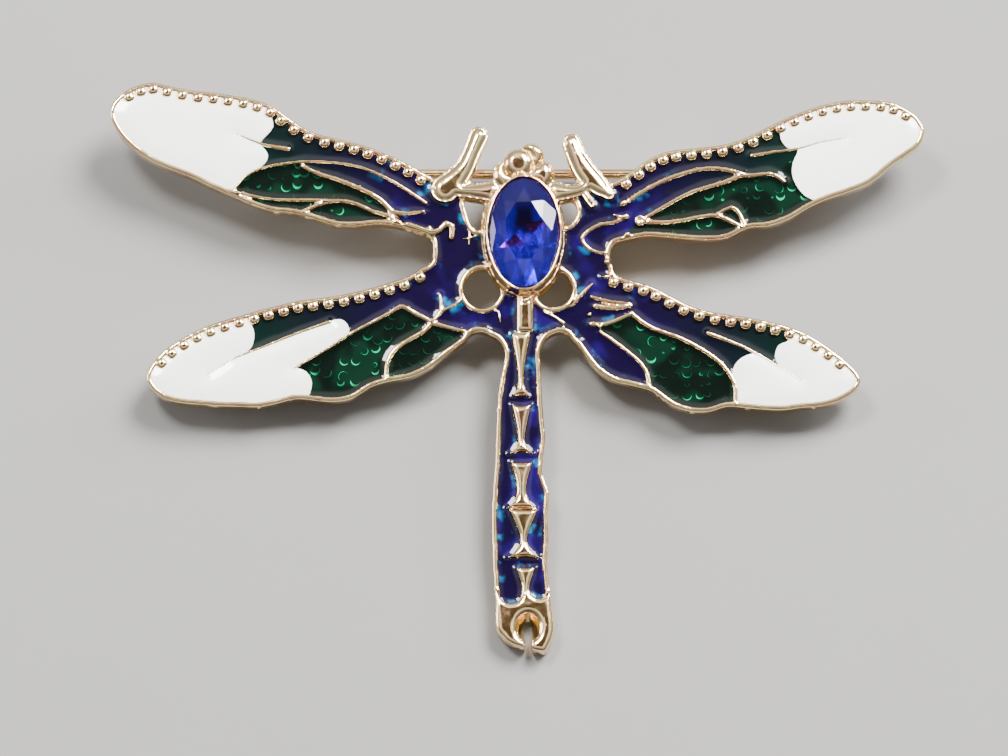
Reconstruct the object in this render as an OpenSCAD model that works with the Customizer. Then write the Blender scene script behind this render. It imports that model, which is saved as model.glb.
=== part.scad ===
// Dragonfly brooch: one cast plate with raised rims, veins and beads, enamel in its
// sunk cells, a faceted oval stone in a raised setting, and a plain pin on its back.
// The brooch is drawn face up and flat, with the body line on Y and the head at +Y.
// as_it_lies() then tips it on to its two pin feet and its tail tip, as it rests.

/* [Forewings] */
// Reach of a forewing, from the body line to the tip
forewing_reach = 34.8; // [30:0.1:40]
// Height that a forewing's middle line gains on the way to its tip
forewing_rise = 10.4; // [8:0.1:13]
// Chord of a forewing, which its front, rear and vein shares are taken of
forewing_chord = 8.6; // [7:0.1:10.5]

/* [Hindwings] */
// Reach of a hindwing, from the body line to the tip
hindwing_reach = 31.5; // [27:0.1:36]
// Distance that a hindwing's middle line falls on the way to its tip
hindwing_drop = 7.8; // [5.5:0.1:10]
// Chord of a hindwing, which its front, rear and vein shares are taken of
hindwing_chord = 8.6; // [7:0.1:10.5]
// Distance of a hindwing's middle line behind the wing line, at the body
hindwing_set = 4.8; // [3.8:0.1:6]

/* [Plate] */
// Whole thickness of the plate at its rims
plate_t = 1.6; // [1.2:0.1:2.4]
// Depth of the enamel cells below the rims
cell_depth = 0.6; // [0.3:0.05:0.8]
// Width of the rim round every edge
rim_w = 0.42; // [0.3:0.02:0.6]
// Radius of the notches where two wings meet the thorax
notch_r = 0.9; // [0.5:0.1:1.2]
// Width of a wing vein at its thick end
vein_w = 0.42; // [0.3:0.02:0.6]
// Diameter of a bead of the leading edge
bead_d = 0.78; // [0.5:0.02:0.9]
// Distance from bead to bead
bead_pitch = 1.3; // [1.1:0.05:2]

/* [Thorax] */
// Half width of the thorax plate at the notches between the wings
thorax_half_w = 7.42; // [6.6:0.1:8.2]
// Length of the thorax plate
thorax_l = 13.8; // [12.8:0.1:15]
// Distance of the thorax plate's front edge before the wing line
thorax_front = 4.1; // [3.6:0.1:4.8]

/* [Stone] */
// Width of the oval stone
stone_w = 5.9; // [5:0.1:6.6]
// Length of the oval stone
stone_l = 9.5; // [8.4:0.1:10.2]
// Height of the stone above its girdle
crown_h = 1.1; // [0.6:0.1:1.8]
// Depth of the stone below its girdle
pavilion_h = 1.5; // [1:0.1:1.9]
// Height of the setting's lip above the back of the plate
bezel_h = 3.4; // [2.9:0.1:4.2]
// Wall of the setting at its lip
lip_w = 0.22; // [0.15:0.01:0.4]
// Wall of the setting at its foot
foot_w = 0.6; // [0.4:0.05:0.9]

/* [Head] */
// Length of the head before the setting
head_l = 2.9; // [2.2:0.1:3.6]
// Width of the head
head_w = 5.2; // [4.2:0.1:6]
// Height of the head above the back of the plate
head_h = 2.6; // [2:0.1:3.2]
// Distance of an antenna's foot inside the thorax's side
antenna_inset = 1.02; // [0.6:0.02:1.4]
// Length of an antenna, from its foot to its tip along the body line
antenna_l = 4.6; // [3.6:0.1:6]
// Width of an antenna's stem
antenna_w = 1.7; // [1.2:0.05:2.1]
// Height of an antenna above the back of the plate
antenna_h = 2.1; // [1.7:0.1:2.8]

/* [Tail] */
// Length of the tail, from the thorax to the tip
tail_l = 27.6; // [22:0.2:34]
// Half width of the tail
tail_half_w = 2.36; // [2:0.02:2.8]
// Height of the spine and of the tail's tip above the back of the plate
spine_h = 2.0; // [1.7:0.05:2.6]
// Width of the oval opening in the tip
tip_hole_w = 2.0; // [1.6:0.1:2.6]
// Length of the oval opening in the tip
tip_hole_l = 2.5; // [2:0.1:3]
// Width of the slit between the tip's two lobes
tip_slit = 0.5; // [0.3:0.05:1]

/* [Pin] */
// Diameter of the pin stem
stem_d = 0.9; // [0.7:0.05:1.2]
// Depth of the pin stem's middle behind the back of the plate
stem_drop = 2.8; // [2.4:0.1:3.6]
// Distance of the pin stem before the wing line
pin_line = 6.2; // [5.4:0.1:6.6]
// Distance of the joint's middle from the body line
joint_out = 14; // [12:0.2:16]
// Distance of the catch's middle from the body line
catch_out = 14.2; // [12:0.2:16]
// Diameter of the round foot of the joint and of the catch
foot_d = 2.5; // [2.1:0.1:3]
// Length of each foot along the stem
foot_l = 2.4; // [1.8:0.1:3.2]
// Length of the stem's end past the catch
stem_past = 1.6; // [0.8:0.1:3]

/* [Fits] */
// Gap between two pieces that touch on the real brooch
gap = 0.04; // [0.02:0.01:0.08]

/* [Hidden] */

// The four wings, as rows of the tables below
LEFT_FORE = 0;
RIGHT_FORE = 1;
LEFT_HIND = 2;
RIGHT_HIND = 3;
WINGS = [LEFT_FORE, RIGHT_FORE, LEFT_HIND, RIGHT_HIND];

// Columns of a wing's edge table: share of the reach, then the front and the rear
// edge as shares of the chord, measured from the wing's sloping middle line
OUT = 0;
FRONT = 1;
REAR = 2;
WING_EDGES = [
    // Left forewing
    [[0.17, 0.20, -0.25], [0.25, 0.34, -0.29], [0.30, 0.39, -0.29], [0.35, 0.42, -0.33],
        [0.40, 0.43, -0.41], [0.45, 0.42, -0.46], [0.50, 0.41, -0.46], [0.55, 0.46, -0.46],
        [0.60, 0.55, -0.50], [0.65, 0.57, -0.50], [0.70, 0.55, -0.47], [0.75, 0.52, -0.44],
        [0.80, 0.48, -0.40], [0.85, 0.46, -0.38], [0.90, 0.44, -0.35], [0.95, 0.32, -0.26],
        [0.985, 0.17, -0.13], [1.00, 0.02, 0.02]],
    // Right forewing
    [[0.17, 0.15, -0.30], [0.25, 0.27, -0.37], [0.30, 0.36, -0.39], [0.35, 0.40, -0.46],
        [0.40, 0.37, -0.54], [0.45, 0.33, -0.61], [0.50, 0.30, -0.65], [0.55, 0.31, -0.61],
        [0.60, 0.35, -0.65], [0.65, 0.39, -0.64], [0.70, 0.41, -0.58], [0.75, 0.41, -0.55],
        [0.80, 0.38, -0.54], [0.85, 0.32, -0.51], [0.90, 0.24, -0.40], [0.95, 0.08, -0.32],
        [0.972, -0.04, -0.26], [0.981, -0.15, -0.15]],
    // Left hindwing
    [[0.13, 0.20, -0.30], [0.20, 0.34, -0.48], [0.25, 0.46, -0.58], [0.30, 0.40, -0.62],
        [0.35, 0.38, -0.61], [0.40, 0.37, -0.62], [0.45, 0.37, -0.69], [0.50, 0.38, -0.68],
        [0.55, 0.40, -0.62], [0.60, 0.42, -0.56], [0.65, 0.42, -0.56], [0.70, 0.42, -0.55],
        [0.75, 0.41, -0.50], [0.80, 0.40, -0.45], [0.85, 0.38, -0.39], [0.90, 0.33, -0.33],
        [0.95, 0.25, -0.24], [0.985, 0.14, -0.11], [1.00, 0.02, 0.02]],
    // Right hindwing
    [[0.125, 0.20, -0.30], [0.16, 0.30, -0.46], [0.20, 0.36, -0.62], [0.25, 0.36, -0.70],
        [0.30, 0.35, -0.70], [0.35, 0.34, -0.71], [0.40, 0.29, -0.80], [0.45, 0.24, -0.82],
        [0.50, 0.23, -0.78],
        [0.55, 0.24, -0.68], [0.60, 0.26, -0.65], [0.65, 0.27, -0.62], [0.70, 0.27, -0.58],
        [0.75, 0.25, -0.51], [0.80, 0.19, -0.45], [0.85, 0.10, -0.35], [0.89, 0.00, -0.22],
        [0.906, -0.10, -0.10]]
];

// Columns of a vein: its width at the start and at the end as shares of vein_w, then its
// line as rows of [share of the reach, share of the chord off the middle line]
START_W = 0;
END_W = 1;
LINE = 2;
WING_VEINS = [
    // Left forewing: tip vein, main vein, knotted vein and its foot, cell vein, lens vein
    [[0.4, 1.0, [[0.69, 0.17], [0.63, 0.14], [0.565, 0.17]]],
        [0.5, 0.7, [[0.70, -0.42], [0.67, -0.24], [0.63, -0.10], [0.57, 0.02], [0.52, 0.10],
            [0.45, 0.17], [0.39, 0.20], [0.33, 0.17], [0.28, 0.11], [0.23, 0.03]]],
        [0.8, 1.1, [[0.53, 0.04], [0.49, 0.01], [0.45, 0.01], [0.385, -0.02], [0.34, -0.07],
            [0.312, -0.16]]],
        [1.1, 0.6, [[0.312, -0.16], [0.275, -0.13], [0.235, -0.06]]],
        [0.6, 0.8, [[0.71, -0.42], [0.63, -0.40], [0.58, -0.36], [0.51, -0.28], [0.44, -0.20],
            [0.40, -0.18]]],
        [0.8, 0.8, [[0.53, -0.42], [0.49, -0.30], [0.44, -0.20], [0.40, -0.18], [0.36, -0.21],
            [0.32, -0.21], [0.27, -0.28]]]],
    // Right forewing: tip vein, upper and lower vein of the long loop, its run to the
    // tip, cell vein, small loop, and the ring by the body
    [[0.8, 0.3, [[0.56, 0.11], [0.615, 0.08], [0.68, 0.04], [0.73, 0.04], [0.785, 0.01]]],
        [1.0, 0.9, [[0.245, -0.01], [0.29, 0.06], [0.35, 0.12], [0.41, 0.13], [0.455, 0.11],
            [0.50, 0.04], [0.54, -0.05]]],
        [1.0, 0.8, [[0.535, -0.06], [0.49, -0.08], [0.415, -0.08], [0.345, -0.15],
            [0.29, -0.22]]],
        [1.0, 0.8, [[0.54, -0.06], [0.56, -0.09], [0.60, -0.12], [0.625, -0.18],
            [0.64, -0.25]]],
        [0.9, 0.9, [[0.29, -0.23], [0.34, -0.30], [0.39, -0.34], [0.46, -0.37], [0.50, -0.46],
            [0.545, -0.62]]],
        [0.8, 0.8, [[0.475, -0.38], [0.51, -0.35], [0.53, -0.44], [0.547, -0.62]]],
        [0.9, 0.7, [[0.255, -0.14], [0.225, -0.16], [0.19, -0.14], [0.165, -0.17],
            [0.148, -0.22], [0.158, -0.32], [0.18, -0.40], [0.205, -0.44], [0.235, -0.40],
            [0.26, -0.33]]]],
    // Left hindwing: long tip vein, cell vein with its peak, lower cell vein, spur,
    // the vein to the hole's rim and the vein to the body
    [[0.3, 0.9, [[0.835, -0.11], [0.79, -0.04], [0.76, 0.00], [0.68, 0.045], [0.59, 0.10],
            [0.51, 0.13]]],
        [0.5, 1.0, [[0.605, -0.25], [0.57, -0.20], [0.51, -0.12], [0.46, -0.04], [0.405, 0.02],
            [0.35, 0.08], [0.32, 0.12], [0.285, 0.02], [0.24, -0.11]]],
        [1.0, 0.9, [[0.24, -0.12], [0.26, -0.19], [0.30, -0.24], [0.335, -0.30], [0.355, -0.40],
            [0.36, -0.57]]],
        [1.0, 0.5, [[0.24, -0.12], [0.213, -0.03], [0.217, 0.14]]],
        [0.6, 0.7, [[0.213, -0.03], [0.19, -0.01], [0.166, 0.02], [0.148, 0.10]]],
        [1.0, 0.7, [[0.24, -0.12], [0.195, -0.21], [0.15, -0.29]]]],
    // Right hindwing: tip vein, great cell vein, body cell vein, three root veins, spur
    [[0.9, 0.3, [[0.50, 0.01], [0.54, -0.01], [0.59, -0.04], [0.64, -0.09], [0.69, -0.16],
            [0.745, -0.24]]],
        [0.9, 0.9, [[0.295, 0.03], [0.32, -0.03], [0.36, -0.08], [0.415, -0.10], [0.46, -0.14],
            [0.505, -0.20], [0.54, -0.28], [0.563, -0.38], [0.574, -0.50], [0.572, -0.66]]],
        [0.6, 0.9, [[0.212, -0.24], [0.245, -0.29], [0.29, -0.38], [0.322, -0.46],
            [0.338, -0.56], [0.343, -0.70]]],
        [0.8, 0.6, [[0.188, 0.09], [0.24, 0.09], [0.29, 0.12]]],
        [1.1, 0.8, [[0.198, 0.01], [0.25, 0.03], [0.295, 0.10]]],
        [1.1, 0.8, [[0.188, -0.18], [0.225, -0.15], [0.26, -0.07], [0.295, 0.02]]],
        [0.9, 0.6, [[0.134, -0.05], [0.162, 0.09], [0.19, 0.22]]]]
];

// Line where the white tip of each wing begins, in a vein's two shares, front to rear
WHITE_EDGES = [
    [[0.62, 0.75], [0.615, 0.50], [0.604, 0.35], [0.63, 0.19], [0.635, 0.13], [0.617, 0.05],
        [0.625, -0.05], [0.66, -0.20], [0.695, -0.40], [0.70, -0.70]],
    [[0.69, 0.60], [0.655, 0.38], [0.632, 0.23], [0.648, 0.09], [0.675, 0.02], [0.662, -0.10],
        [0.663, -0.25], [0.69, -0.45], [0.74, -0.60], [0.77, -0.80]],
    [[0.77, 0.60], [0.73, 0.34], [0.715, 0.20], [0.72, 0.08], [0.735, 0.02], [0.68, 0.045],
        [0.59, 0.10], [0.51, 0.13], [0.475, 0.10], [0.462, -0.03], [0.51, -0.12],
        [0.57, -0.20], [0.60, -0.25], [0.575, -0.32], [0.56, -0.44], [0.57, -0.58],
        [0.60, -0.85]],
    [[0.76, 0.45], [0.72, 0.14], [0.69, 0.05], [0.68, -0.06], [0.686, -0.15], [0.635, -0.09],
        [0.60, -0.14], [0.573, -0.25], [0.565, -0.38], [0.574, -0.50], [0.572, -0.90]]
];

// Line round the green cells of each wing, in a vein's two shares
GREEN_EDGES = [
    [[0.70, -0.40], [0.67, -0.24], [0.63, -0.10], [0.57, 0.02], [0.53, 0.03], [0.49, 0.01],
        [0.45, 0.01], [0.385, -0.02], [0.34, -0.07], [0.312, -0.16], [0.26, -0.28],
        [0.26, -0.60], [0.45, -0.80], [0.70, -0.80]],
    [[0.29, -0.22], [0.345, -0.15], [0.415, -0.08], [0.49, -0.08], [0.54, -0.06],
        [0.60, -0.12], [0.625, -0.15], [0.66, -0.06], [0.70, -0.10], [0.80, -0.60],
        [0.70, -0.90], [0.40, -0.90], [0.26, -0.60], [0.26, -0.33]],
    [[0.605, -0.25], [0.51, -0.12], [0.405, 0.02], [0.32, 0.12], [0.285, 0.02],
        [0.24, -0.12], [0.195, -0.21], [0.14, -0.30], [0.14, -0.70], [0.40, -0.90],
        [0.62, -0.90], [0.62, -0.30]],
    [[0.188, -0.18], [0.225, -0.15], [0.26, -0.07], [0.295, 0.03], [0.36, -0.08], [0.46, -0.14],
        [0.54, -0.28], [0.574, -0.50], [0.574, -1.00], [0.345, -1.00], [0.343, -0.68],
        [0.322, -0.46], [0.245, -0.29]]
];

// First bead of each wing as a share of its edge's way from the root to the tip, and
// the last one: the beads follow the front edge between them
BEAD_SPANS = [[0.085, 0.955], [0.10, 0.94], [0.17, 0.965], [0.155, 0.955]];

// Thorax, front to rear: share of its length, then its left and its right edge as
// shares of the half width
THORAX_EDGES = [[0.00, 0.90, 0.90], [0.10, 1.00, 1.02], [0.24, 1.02, 1.03],
    [0.38, 1.00, 1.02], [0.46, 1.00, 1.01], [0.54, 1.02, 1.04], [0.70, 0.90, 0.86],
    [0.82, 0.74, 0.72], [0.895, 0.62, 0.60], [0.915, 0.42, 0.42], [0.94, 0.33, 0.31],
    [0.97, 0.19, 0.18], [1.00, 0.08, 0.08]];
// Openings beside the setting, in shares of the half width and of the thorax length
FRONT_OPENINGS = [
    [[-0.64, 0.07], [-0.41, 0.07], [-0.44, 0.17], [-0.46, 0.27], [-0.55, 0.26],
        [-0.61, 0.18]],
    [[0.43, 0.08], [0.58, 0.08], [0.64, 0.14], [0.62, 0.20], [0.53, 0.25], [0.46, 0.22]]
];
// Round openings beside the tail: share of the half width, share of the length, then
// their two diameters as shares of the half width
REAR_OPENINGS = [[-0.44, 0.645, 0.42, 0.46], [0.37, 0.645, 0.42, 0.44]];

// Lobes of the head: shares of its width and length, then the diameter as a share
// of its width and the height as a share of its height
HEAD_LOBES = [[-0.28, 0.14, 0.46, 0.86], [0.26, 0.16, 0.48, 0.90], [-0.09, 0.46, 0.50, 1.00],
    [0.12, 0.72, 0.42, 0.94]];

// Antenna, foot to tip: share of the spread, share of the length, share of the width
LEFT_ANTENNA = [[1.00, 0.00, 1.45], [0.86, 0.20, 1.20], [0.74, 0.42, 1.00],
    [0.65, 0.70, 0.90], [0.56, 1.00, 1.00]];
RIGHT_ANTENNA = [[1.16, -0.10, 0.60], [1.02, 0.08, 1.05], [0.86, 0.32, 1.15],
    [0.74, 0.62, 1.00], [0.67, 0.88, 0.95]];
// Arm from each antenna's foot to the setting, and the prong by the right one
LEFT_ARM = [[0.98, 0.02, 0.90], [0.72, -0.04, 0.70], [0.34, -0.05, 1.15]];
RIGHT_ARM = [[0.92, 0.12, 0.70], [0.74, -0.04, 0.64], [0.40, -0.05, 1.15]];
RIGHT_PRONG = [[0.82, -0.04, 0.40], [0.88, -0.17, 0.36], [0.94, -0.30, 0.34]];

// Tail, thorax to tip: share of its length, then its left and its right edge as shares
// of the half width
TAIL_EDGES = [[-0.04, 1.00, 1.00], [0.02, 0.86, 0.90], [0.05, 0.66, 0.73],
    [0.08, 0.57, 0.67], [0.14, 0.70, 0.72], [0.20, 0.81, 0.74], [0.28, 0.87, 0.80],
    [0.34, 0.89, 0.87], [0.40, 0.91, 0.79], [0.45, 0.95, 0.77], [0.51, 1.00, 1.00],
    [0.57, 1.03, 0.96], [0.65, 1.02, 0.98], [0.72, 1.00, 0.93], [0.80, 0.94, 1.02],
    [0.86, 0.90, 1.10], [0.92, 0.90, 1.18], [0.95, 0.72, 1.14], [0.98, 0.30, 1.00],
    [1.00, -0.60, 0.85]];
// Spine pieces, thorax to tip: share of the tail at the head, waist and foot, the half
// widths there and the middle as shares of the tail's half width
SPINE = [[0.012, 0.150, 0.214, 0.35, 0.11, 0.37, 0.00],
    [0.228, 0.344, 0.388, 0.38, 0.13, 0.50, 0.02],
    [0.410, 0.500, 0.556, 0.41, 0.18, 0.57, 0.02],
    [0.562, 0.656, 0.710, 0.52, 0.12, 0.64, 0.09],
    [0.738, 0.806, 0.860, 0.38, 0.14, 0.45, 0.16]];
// Half width of such a piece between its head and its waist as a share of their mean
SHOULDER_W = 0.9;
// Where a foot flares: share of its half width, and of the way from the waist to the foot
FOOT_FLARE = [0.55, 0.72];
// Ovals between two spine pieces: share of the tail's length, then the width and the
// middle as shares of the half width
LENSES = [[0.222, 0.94, 0.00], [0.400, 1.10, 0.02], [0.725, 1.30, 0.12]];
// Height of such an oval as a share of the tail's length
lens_share = 0.034;
// Round ends of the two enamel strips before the solid tip: middle and radius as shares
// of the half width, and share of the tail's length that they reach
STRIP_ENDS = [[-0.37, 0.48, 0.85], [0.65, 0.34, 0.835]];
// Middle of the tip's opening: share of the half width and of the tail's length
TIP_HOLE = [0.25, 0.925];

// Pieces of an outline and of a vein between two of its points
curve_steps = 3;
vein_steps = 2;
// Sides of an oval's outline, of another round outline and of a vein's end
oval_sides = 36;
disc_sides = 24;
end_sides = 8;
// Sides of a bead, and of the pocket round it
bead_sides = 16;
pocket_sides = 12;
// Offset that clears slivers out of a flat outline, and inset of what rises off the plate
sliver = 0.06;
// Radius up to which a loose speck of enamel is left out
speck = 0.16;
// Radius of the valleys between the head, the antennae and the wings
valley_r = 0.45;
// Places of the plate's rounded inner corners, in shares of the thorax's half width and
// length: wing notches, sides of the tail's root, then the valleys round the antennae
NOTCHES = [[-1.00, 0.40], [1.00, 0.40], [-0.40, 0.95], [0.40, 0.95]];
VALLEYS = [[-0.84, 0.00], [0.88, 0.00], [-0.37, -0.08], [0.39, -0.08]];
// Reach of a rounded corner's region as a share of the thorax's half width
corner_reach = 0.34;

// Shares of the wings' reach that lie at the thorax's side
forewing_root = 0.2132;
hindwing_root = 0.2356;
// Share of the thorax's length at which the tail begins
tail_joint = 0.9;
// Distance of the antennae's feet behind the thorax's front edge
antenna_set = 0.3;
// Length that the head and the link reach under the setting's foot
lap = 0.4;
// Width of the link between setting and tail as a share of the tail's half width
link_share = 0.6;
// Distance of the link to the right of the setting's middle
link_shift = 0.1;
// Distance before the tail at which the thorax's enamel meets the tail's
seam = 0.25;
// Half width of the tail's enamel zone as a share of the tail's half width
tail_zone = 1.6;
// Share of the reach and of the chord that no wing reaches
past_wing = 1.2;

// Distance of the stone and its setting to the right of the body line
stone_x = 0.25;
// Distance of the stone's middle behind the wing line
stone_y = -0.35;
// Sides of the stone's table
stone_sides = 8;
// Share of the crown's height that the girdle takes
girdle_share = 0.18;
// Share of the stone's half width that the table takes
table_share = 0.56;
// Share of the half width and of the crown's height where the star facets end
star_share = 0.8;
star_rise = 0.58;
// Least thickness of metal left under the stone's seat
seat_floor = 0.5;

// Depth of the dark enamel's top below the rims
blue_below = 0.14;
// Depth of the white enamel's top below the rims
white_below = 0.03;
// Share of the rim's width that a bead's edge keeps from the wing's edge
bead_edge = 0.55;
// Height of a bead's middle above the cell floor as a share of its radius
bead_rise = 0.85;
// Width of a foot's post as a share of the foot's diameter
post_share = 0.7;
// Diameter of the stem's end as a share of the stem's
point_share = 0.3;

floor_z = plate_t - cell_depth;
bead_r = bead_d / 2;
seat_w = stone_w + 2 * gap;
seat_l = stone_l + 2 * gap;
lip_out_w = seat_w + 2 * lip_w;
lip_out_l = seat_l + 2 * lip_w;
foot_out_w = seat_w + 2 * foot_w;
foot_out_l = seat_l + 2 * foot_w;
girdle_z = bezel_h - crown_h * girdle_share;
seat_z = max(seat_floor, girdle_z - pavilion_h - gap);
tail_start = thorax_front - thorax_l * tail_joint;
tail_end = tail_start - tail_l;
antenna_foot_y = thorax_front - antenna_set;
antenna_spread = thorax_half_w - antenna_inset;

// The brooch lies on the two round feet and on the tail tip's back edge
foot_reach = pin_line - tail_end;
foot_drop = stem_drop;
rest_tilt = atan(foot_drop / foot_reach)
    + asin(foot_d / 2 / sqrt(foot_reach * foot_reach + foot_drop * foot_drop));
wing_front = max([for (w = WINGS, p = front_edge(w)) p[1]]);
middle_x = (wing_tip(LEFT_FORE)[0] + wing_tip(RIGHT_FORE)[0]) / 2;
middle_y = (wing_front * cos(rest_tilt) + tail_end * cos(rest_tilt)
    - spine_h * sin(rest_tilt)) / 2;
lift = -tail_end * sin(rest_tilt);

function clamped(list, i) = list[max(0, min(len(list) - 1, i))];
function smooth(a, b, c, d, t) = (2 * b + (c - a) * t + (2 * a - 5 * b + 4 * c - d) * t * t
    + (3 * b - a - 3 * c + d) * t * t * t) / 2;

// Smooth line through open or closed points
function open_curve(p, steps = curve_steps) = [
    for (i = [0:len(p) - 2], s = [0:steps - 1])
        smooth(clamped(p, i - 1), p[i], p[i + 1], clamped(p, i + 2), s / steps),
    p[len(p) - 1]];
function closed_curve(p, steps = curve_steps) = [
    for (i = [0:len(p) - 1], s = [0:steps - 1])
        smooth(p[(i + len(p) - 1) % len(p)], p[i], p[(i + 1) % len(p)],
            p[(i + 2) % len(p)], s / steps)];

function unit(v) = v / norm(v);
function across(v) = [-v[1], v[0]];
function side_of(w) = w % 2 == 0 ? -1 : 1;

// Distance off the body line: the root share lies at the thorax's side, 1 at the reach
function wing_out(reach, root, out) = thorax_half_w
    + (reach - thorax_half_w) * (out - root) / (1 - root);

// Place on a wing: share of its reach and share of its chord off the middle line
function wing_point(w, out, off) = w <= RIGHT_FORE
    ? [side_of(w) * wing_out(forewing_reach, forewing_root, out),
        forewing_rise * out + forewing_chord * off]
    : [side_of(w) * wing_out(hindwing_reach, hindwing_root, out),
        -hindwing_set - hindwing_drop * out + hindwing_chord * off];
function wing_tip(w) = let (last = WING_EDGES[w][len(WING_EDGES[w]) - 1])
    wing_point(w, last[OUT], last[FRONT]);
function wing_line(w, rows) = [for (r = rows) wing_point(w, r[0], r[1])];
function front_edge(w) = [for (r = WING_EDGES[w]) wing_point(w, r[OUT], r[FRONT])];
function rear_edge(w) = [for (i = [len(WING_EDGES[w]) - 2:-1:0])
    wing_point(w, WING_EDGES[w][i][OUT], WING_EDGES[w][i][REAR])];

// Outline of a body part from rows of a share of its length and its two edges
function body_outline(rows, start, length, half) = concat(
    [for (r = rows) [-half * r[1], start - length * r[0]]],
    [for (i = [len(rows) - 1:-1:0]) [half * rows[i][2], start - length * rows[i][0]]]);
function thorax_point(p) = [thorax_half_w * p[0], thorax_front - thorax_l * p[1]];

// Length of a line up to each of its points, and the point at a length along it
function run_to(p, i = 0, sum = 0) = i == len(p) - 1 ? [sum]
    : concat([sum], run_to(p, i + 1, sum + norm(p[i + 1] - p[i])));
function leg_at(run, s, i = 0) = i >= len(run) - 2 || run[i + 1] > s ? i
    : leg_at(run, s, i + 1);
function point_at(p, run, s) = let (i = leg_at(run, s), t = (s - run[i])
    / (run[i + 1] - run[i])) p[i] + (p[i + 1] - p[i]) * t;
function heading_at(p, run, s) = let (i = leg_at(run, s)) unit(p[i + 1] - p[i]);

// Middles of a wing's beads, set in from the front edge so that they touch the rim
bead_inset = rim_w * bead_edge + bead_r;
function wing_beads(w) = let (edge = open_curve(front_edge(w)), run = run_to(edge),
    whole = run[len(run) - 1], first = BEAD_SPANS[w][0] * whole,
    count = floor((BEAD_SPANS[w][1] * whole - first) / bead_pitch))
    [for (k = [0:count]) let (s = first + k * bead_pitch)
        point_at(edge, run, s) + across(heading_at(edge, run, s)) * side_of(w) * -bead_inset];

// Outline of a band round a line, with its own width at each point
function band(p, widths) = let (n = len(p), normals = [for (i = [0:n - 1])
    across(unit(clamped(p, i + 1) - clamped(p, i - 1)))])
    concat([for (i = [0:n - 1]) p[i] + normals[i] * widths[i] / 2],
        [for (i = [n - 1:-1:0]) p[i] - normals[i] * widths[i] / 2]);
function oval(w, l) = [for (i = [0:oval_sides - 1]) let (a = 360 * i / oval_sides)
    [w / 2 * cos(a), l / 2 * sin(a)]];

// Clears slivers out of a flat outline
module cleaned(width = sliver) {
    offset(delta = width) offset(delta = -width) children();
}

// Band with round ends, narrowing evenly from one width to the other
module tapered_band(line, start_w, end_w) {
    p = open_curve(line, vein_steps);
    n = len(p) - 1;
    polygon(band(p, [for (i = [0:n]) start_w + (end_w - start_w) * i / n]));
    translate(p[0]) circle(d = start_w, $fn = end_sides);
    translate(p[n]) circle(d = end_w, $fn = end_sides);
}

// Band of an antenna or arm, whose rows hold its place and its width
module limb(rows, side) {
    p = open_curve([for (r = rows) [side * antenna_spread * r[0],
        antenna_foot_y + antenna_l * r[1]]]);
    widths = open_curve([for (r = rows) [antenna_w * r[2], 0]]);
    n = len(p) - 1;
    polygon(band(p, [for (w = widths) w[0]]));
    translate(p[0]) circle(d = widths[0][0], $fn = disc_sides);
    translate(p[n]) circle(d = widths[n][0], $fn = disc_sides);
}

module limbs_flat() {
    limb(LEFT_ANTENNA, -1);
    limb(LEFT_ARM, -1);
    limb(RIGHT_ANTENNA, 1);
    limb(RIGHT_ARM, 1);
    limb(RIGHT_PRONG, 1);
}

module wing_flat(w) {
    polygon(closed_curve(concat(front_edge(w), rear_edge(w))));
}

module wing_veins_flat(w) {
    for (v = WING_VEINS[w])
        tapered_band(wing_line(w, v[LINE]), vein_w * v[START_W], vein_w * v[END_W]);
}

module thorax_flat() {
    polygon(closed_curve(body_outline(THORAX_EDGES, thorax_front, thorax_l, thorax_half_w)));
}

module openings_flat() {
    for (o = FRONT_OPENINGS)
        polygon(closed_curve([for (p = o) thorax_point(p)]));
    for (o = REAR_OPENINGS)
        translate(thorax_point(o)) polygon(oval(thorax_half_w * o[2], thorax_half_w * o[3]));
}

module setting_flat() {
    translate([stone_x, stone_y]) polygon(oval(foot_out_w, foot_out_l));
}

// Lobed head before the setting
module lobe_flat(l) {
    translate([stone_x + head_w * l[0], stone_y + foot_out_l / 2 - lap + head_l * l[1]])
        circle(d = head_w * l[2], $fn = disc_sides);
}

module head_flat() {
    for (l = HEAD_LOBES)
        lobe_flat(l);
}

module tail_flat() {
    polygon(closed_curve(body_outline(TAIL_EDGES, tail_start, tail_l, tail_half_w)));
}

module tip_opening_flat() {
    slit_l = tail_l * (1 - TIP_HOLE[1]) + rim_w;
    translate([tail_half_w * TIP_HOLE[0], tail_start - tail_l * TIP_HOLE[1]]) {
        polygon(oval(tip_hole_w, tip_hole_l));
        translate([-tip_slit / 2, -slit_l]) square([tip_slit, slit_l]);
    }
}

// Solid tip of the tail, with hollow curves where the two enamel strips end
module tip_flat() {
    ends = [for (e = STRIP_ENDS) tail_start - tail_l * e[2] + tail_half_w * e[1]];
    intersection() {
        tail_flat();
        difference() {
            translate([-tail_half_w * 2, tail_end - rim_w])
                square([tail_half_w * 4, max(ends) - tail_end + rim_w]);
            for (i = [0, 1])
                translate([tail_half_w * STRIP_ENDS[i][0], ends[i]]) {
                    r = tail_half_w * STRIP_ENDS[i][1];
                    circle(r = r, $fn = disc_sides);
                    translate([-r, 0]) square([2 * r, tail_half_w]);
                }
        }
    }
}

// Hourglass piece of the spine with a flared foot
module spine_piece(s) {
    y = [for (i = [0:2]) tail_start - tail_l * s[i]];
    h = [for (i = [3:5]) tail_half_w * s[i]];
    flare = [h[2] * FOOT_FLARE[0], y[1] + (y[2] - y[1]) * FOOT_FLARE[1]];
    shoulder = [(h[0] + h[1]) / 2 * SHOULDER_W, (y[0] + y[1]) / 2];
    right = open_curve([[h[0], y[0]], shoulder, [h[1], y[1]], flare, [h[2], y[2]]]);
    translate([tail_half_w * s[6], 0]) polygon(concat(right,
        [for (i = [len(right) - 1:-1:0]) [-right[i][0], right[i][1]]]));
}

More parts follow.
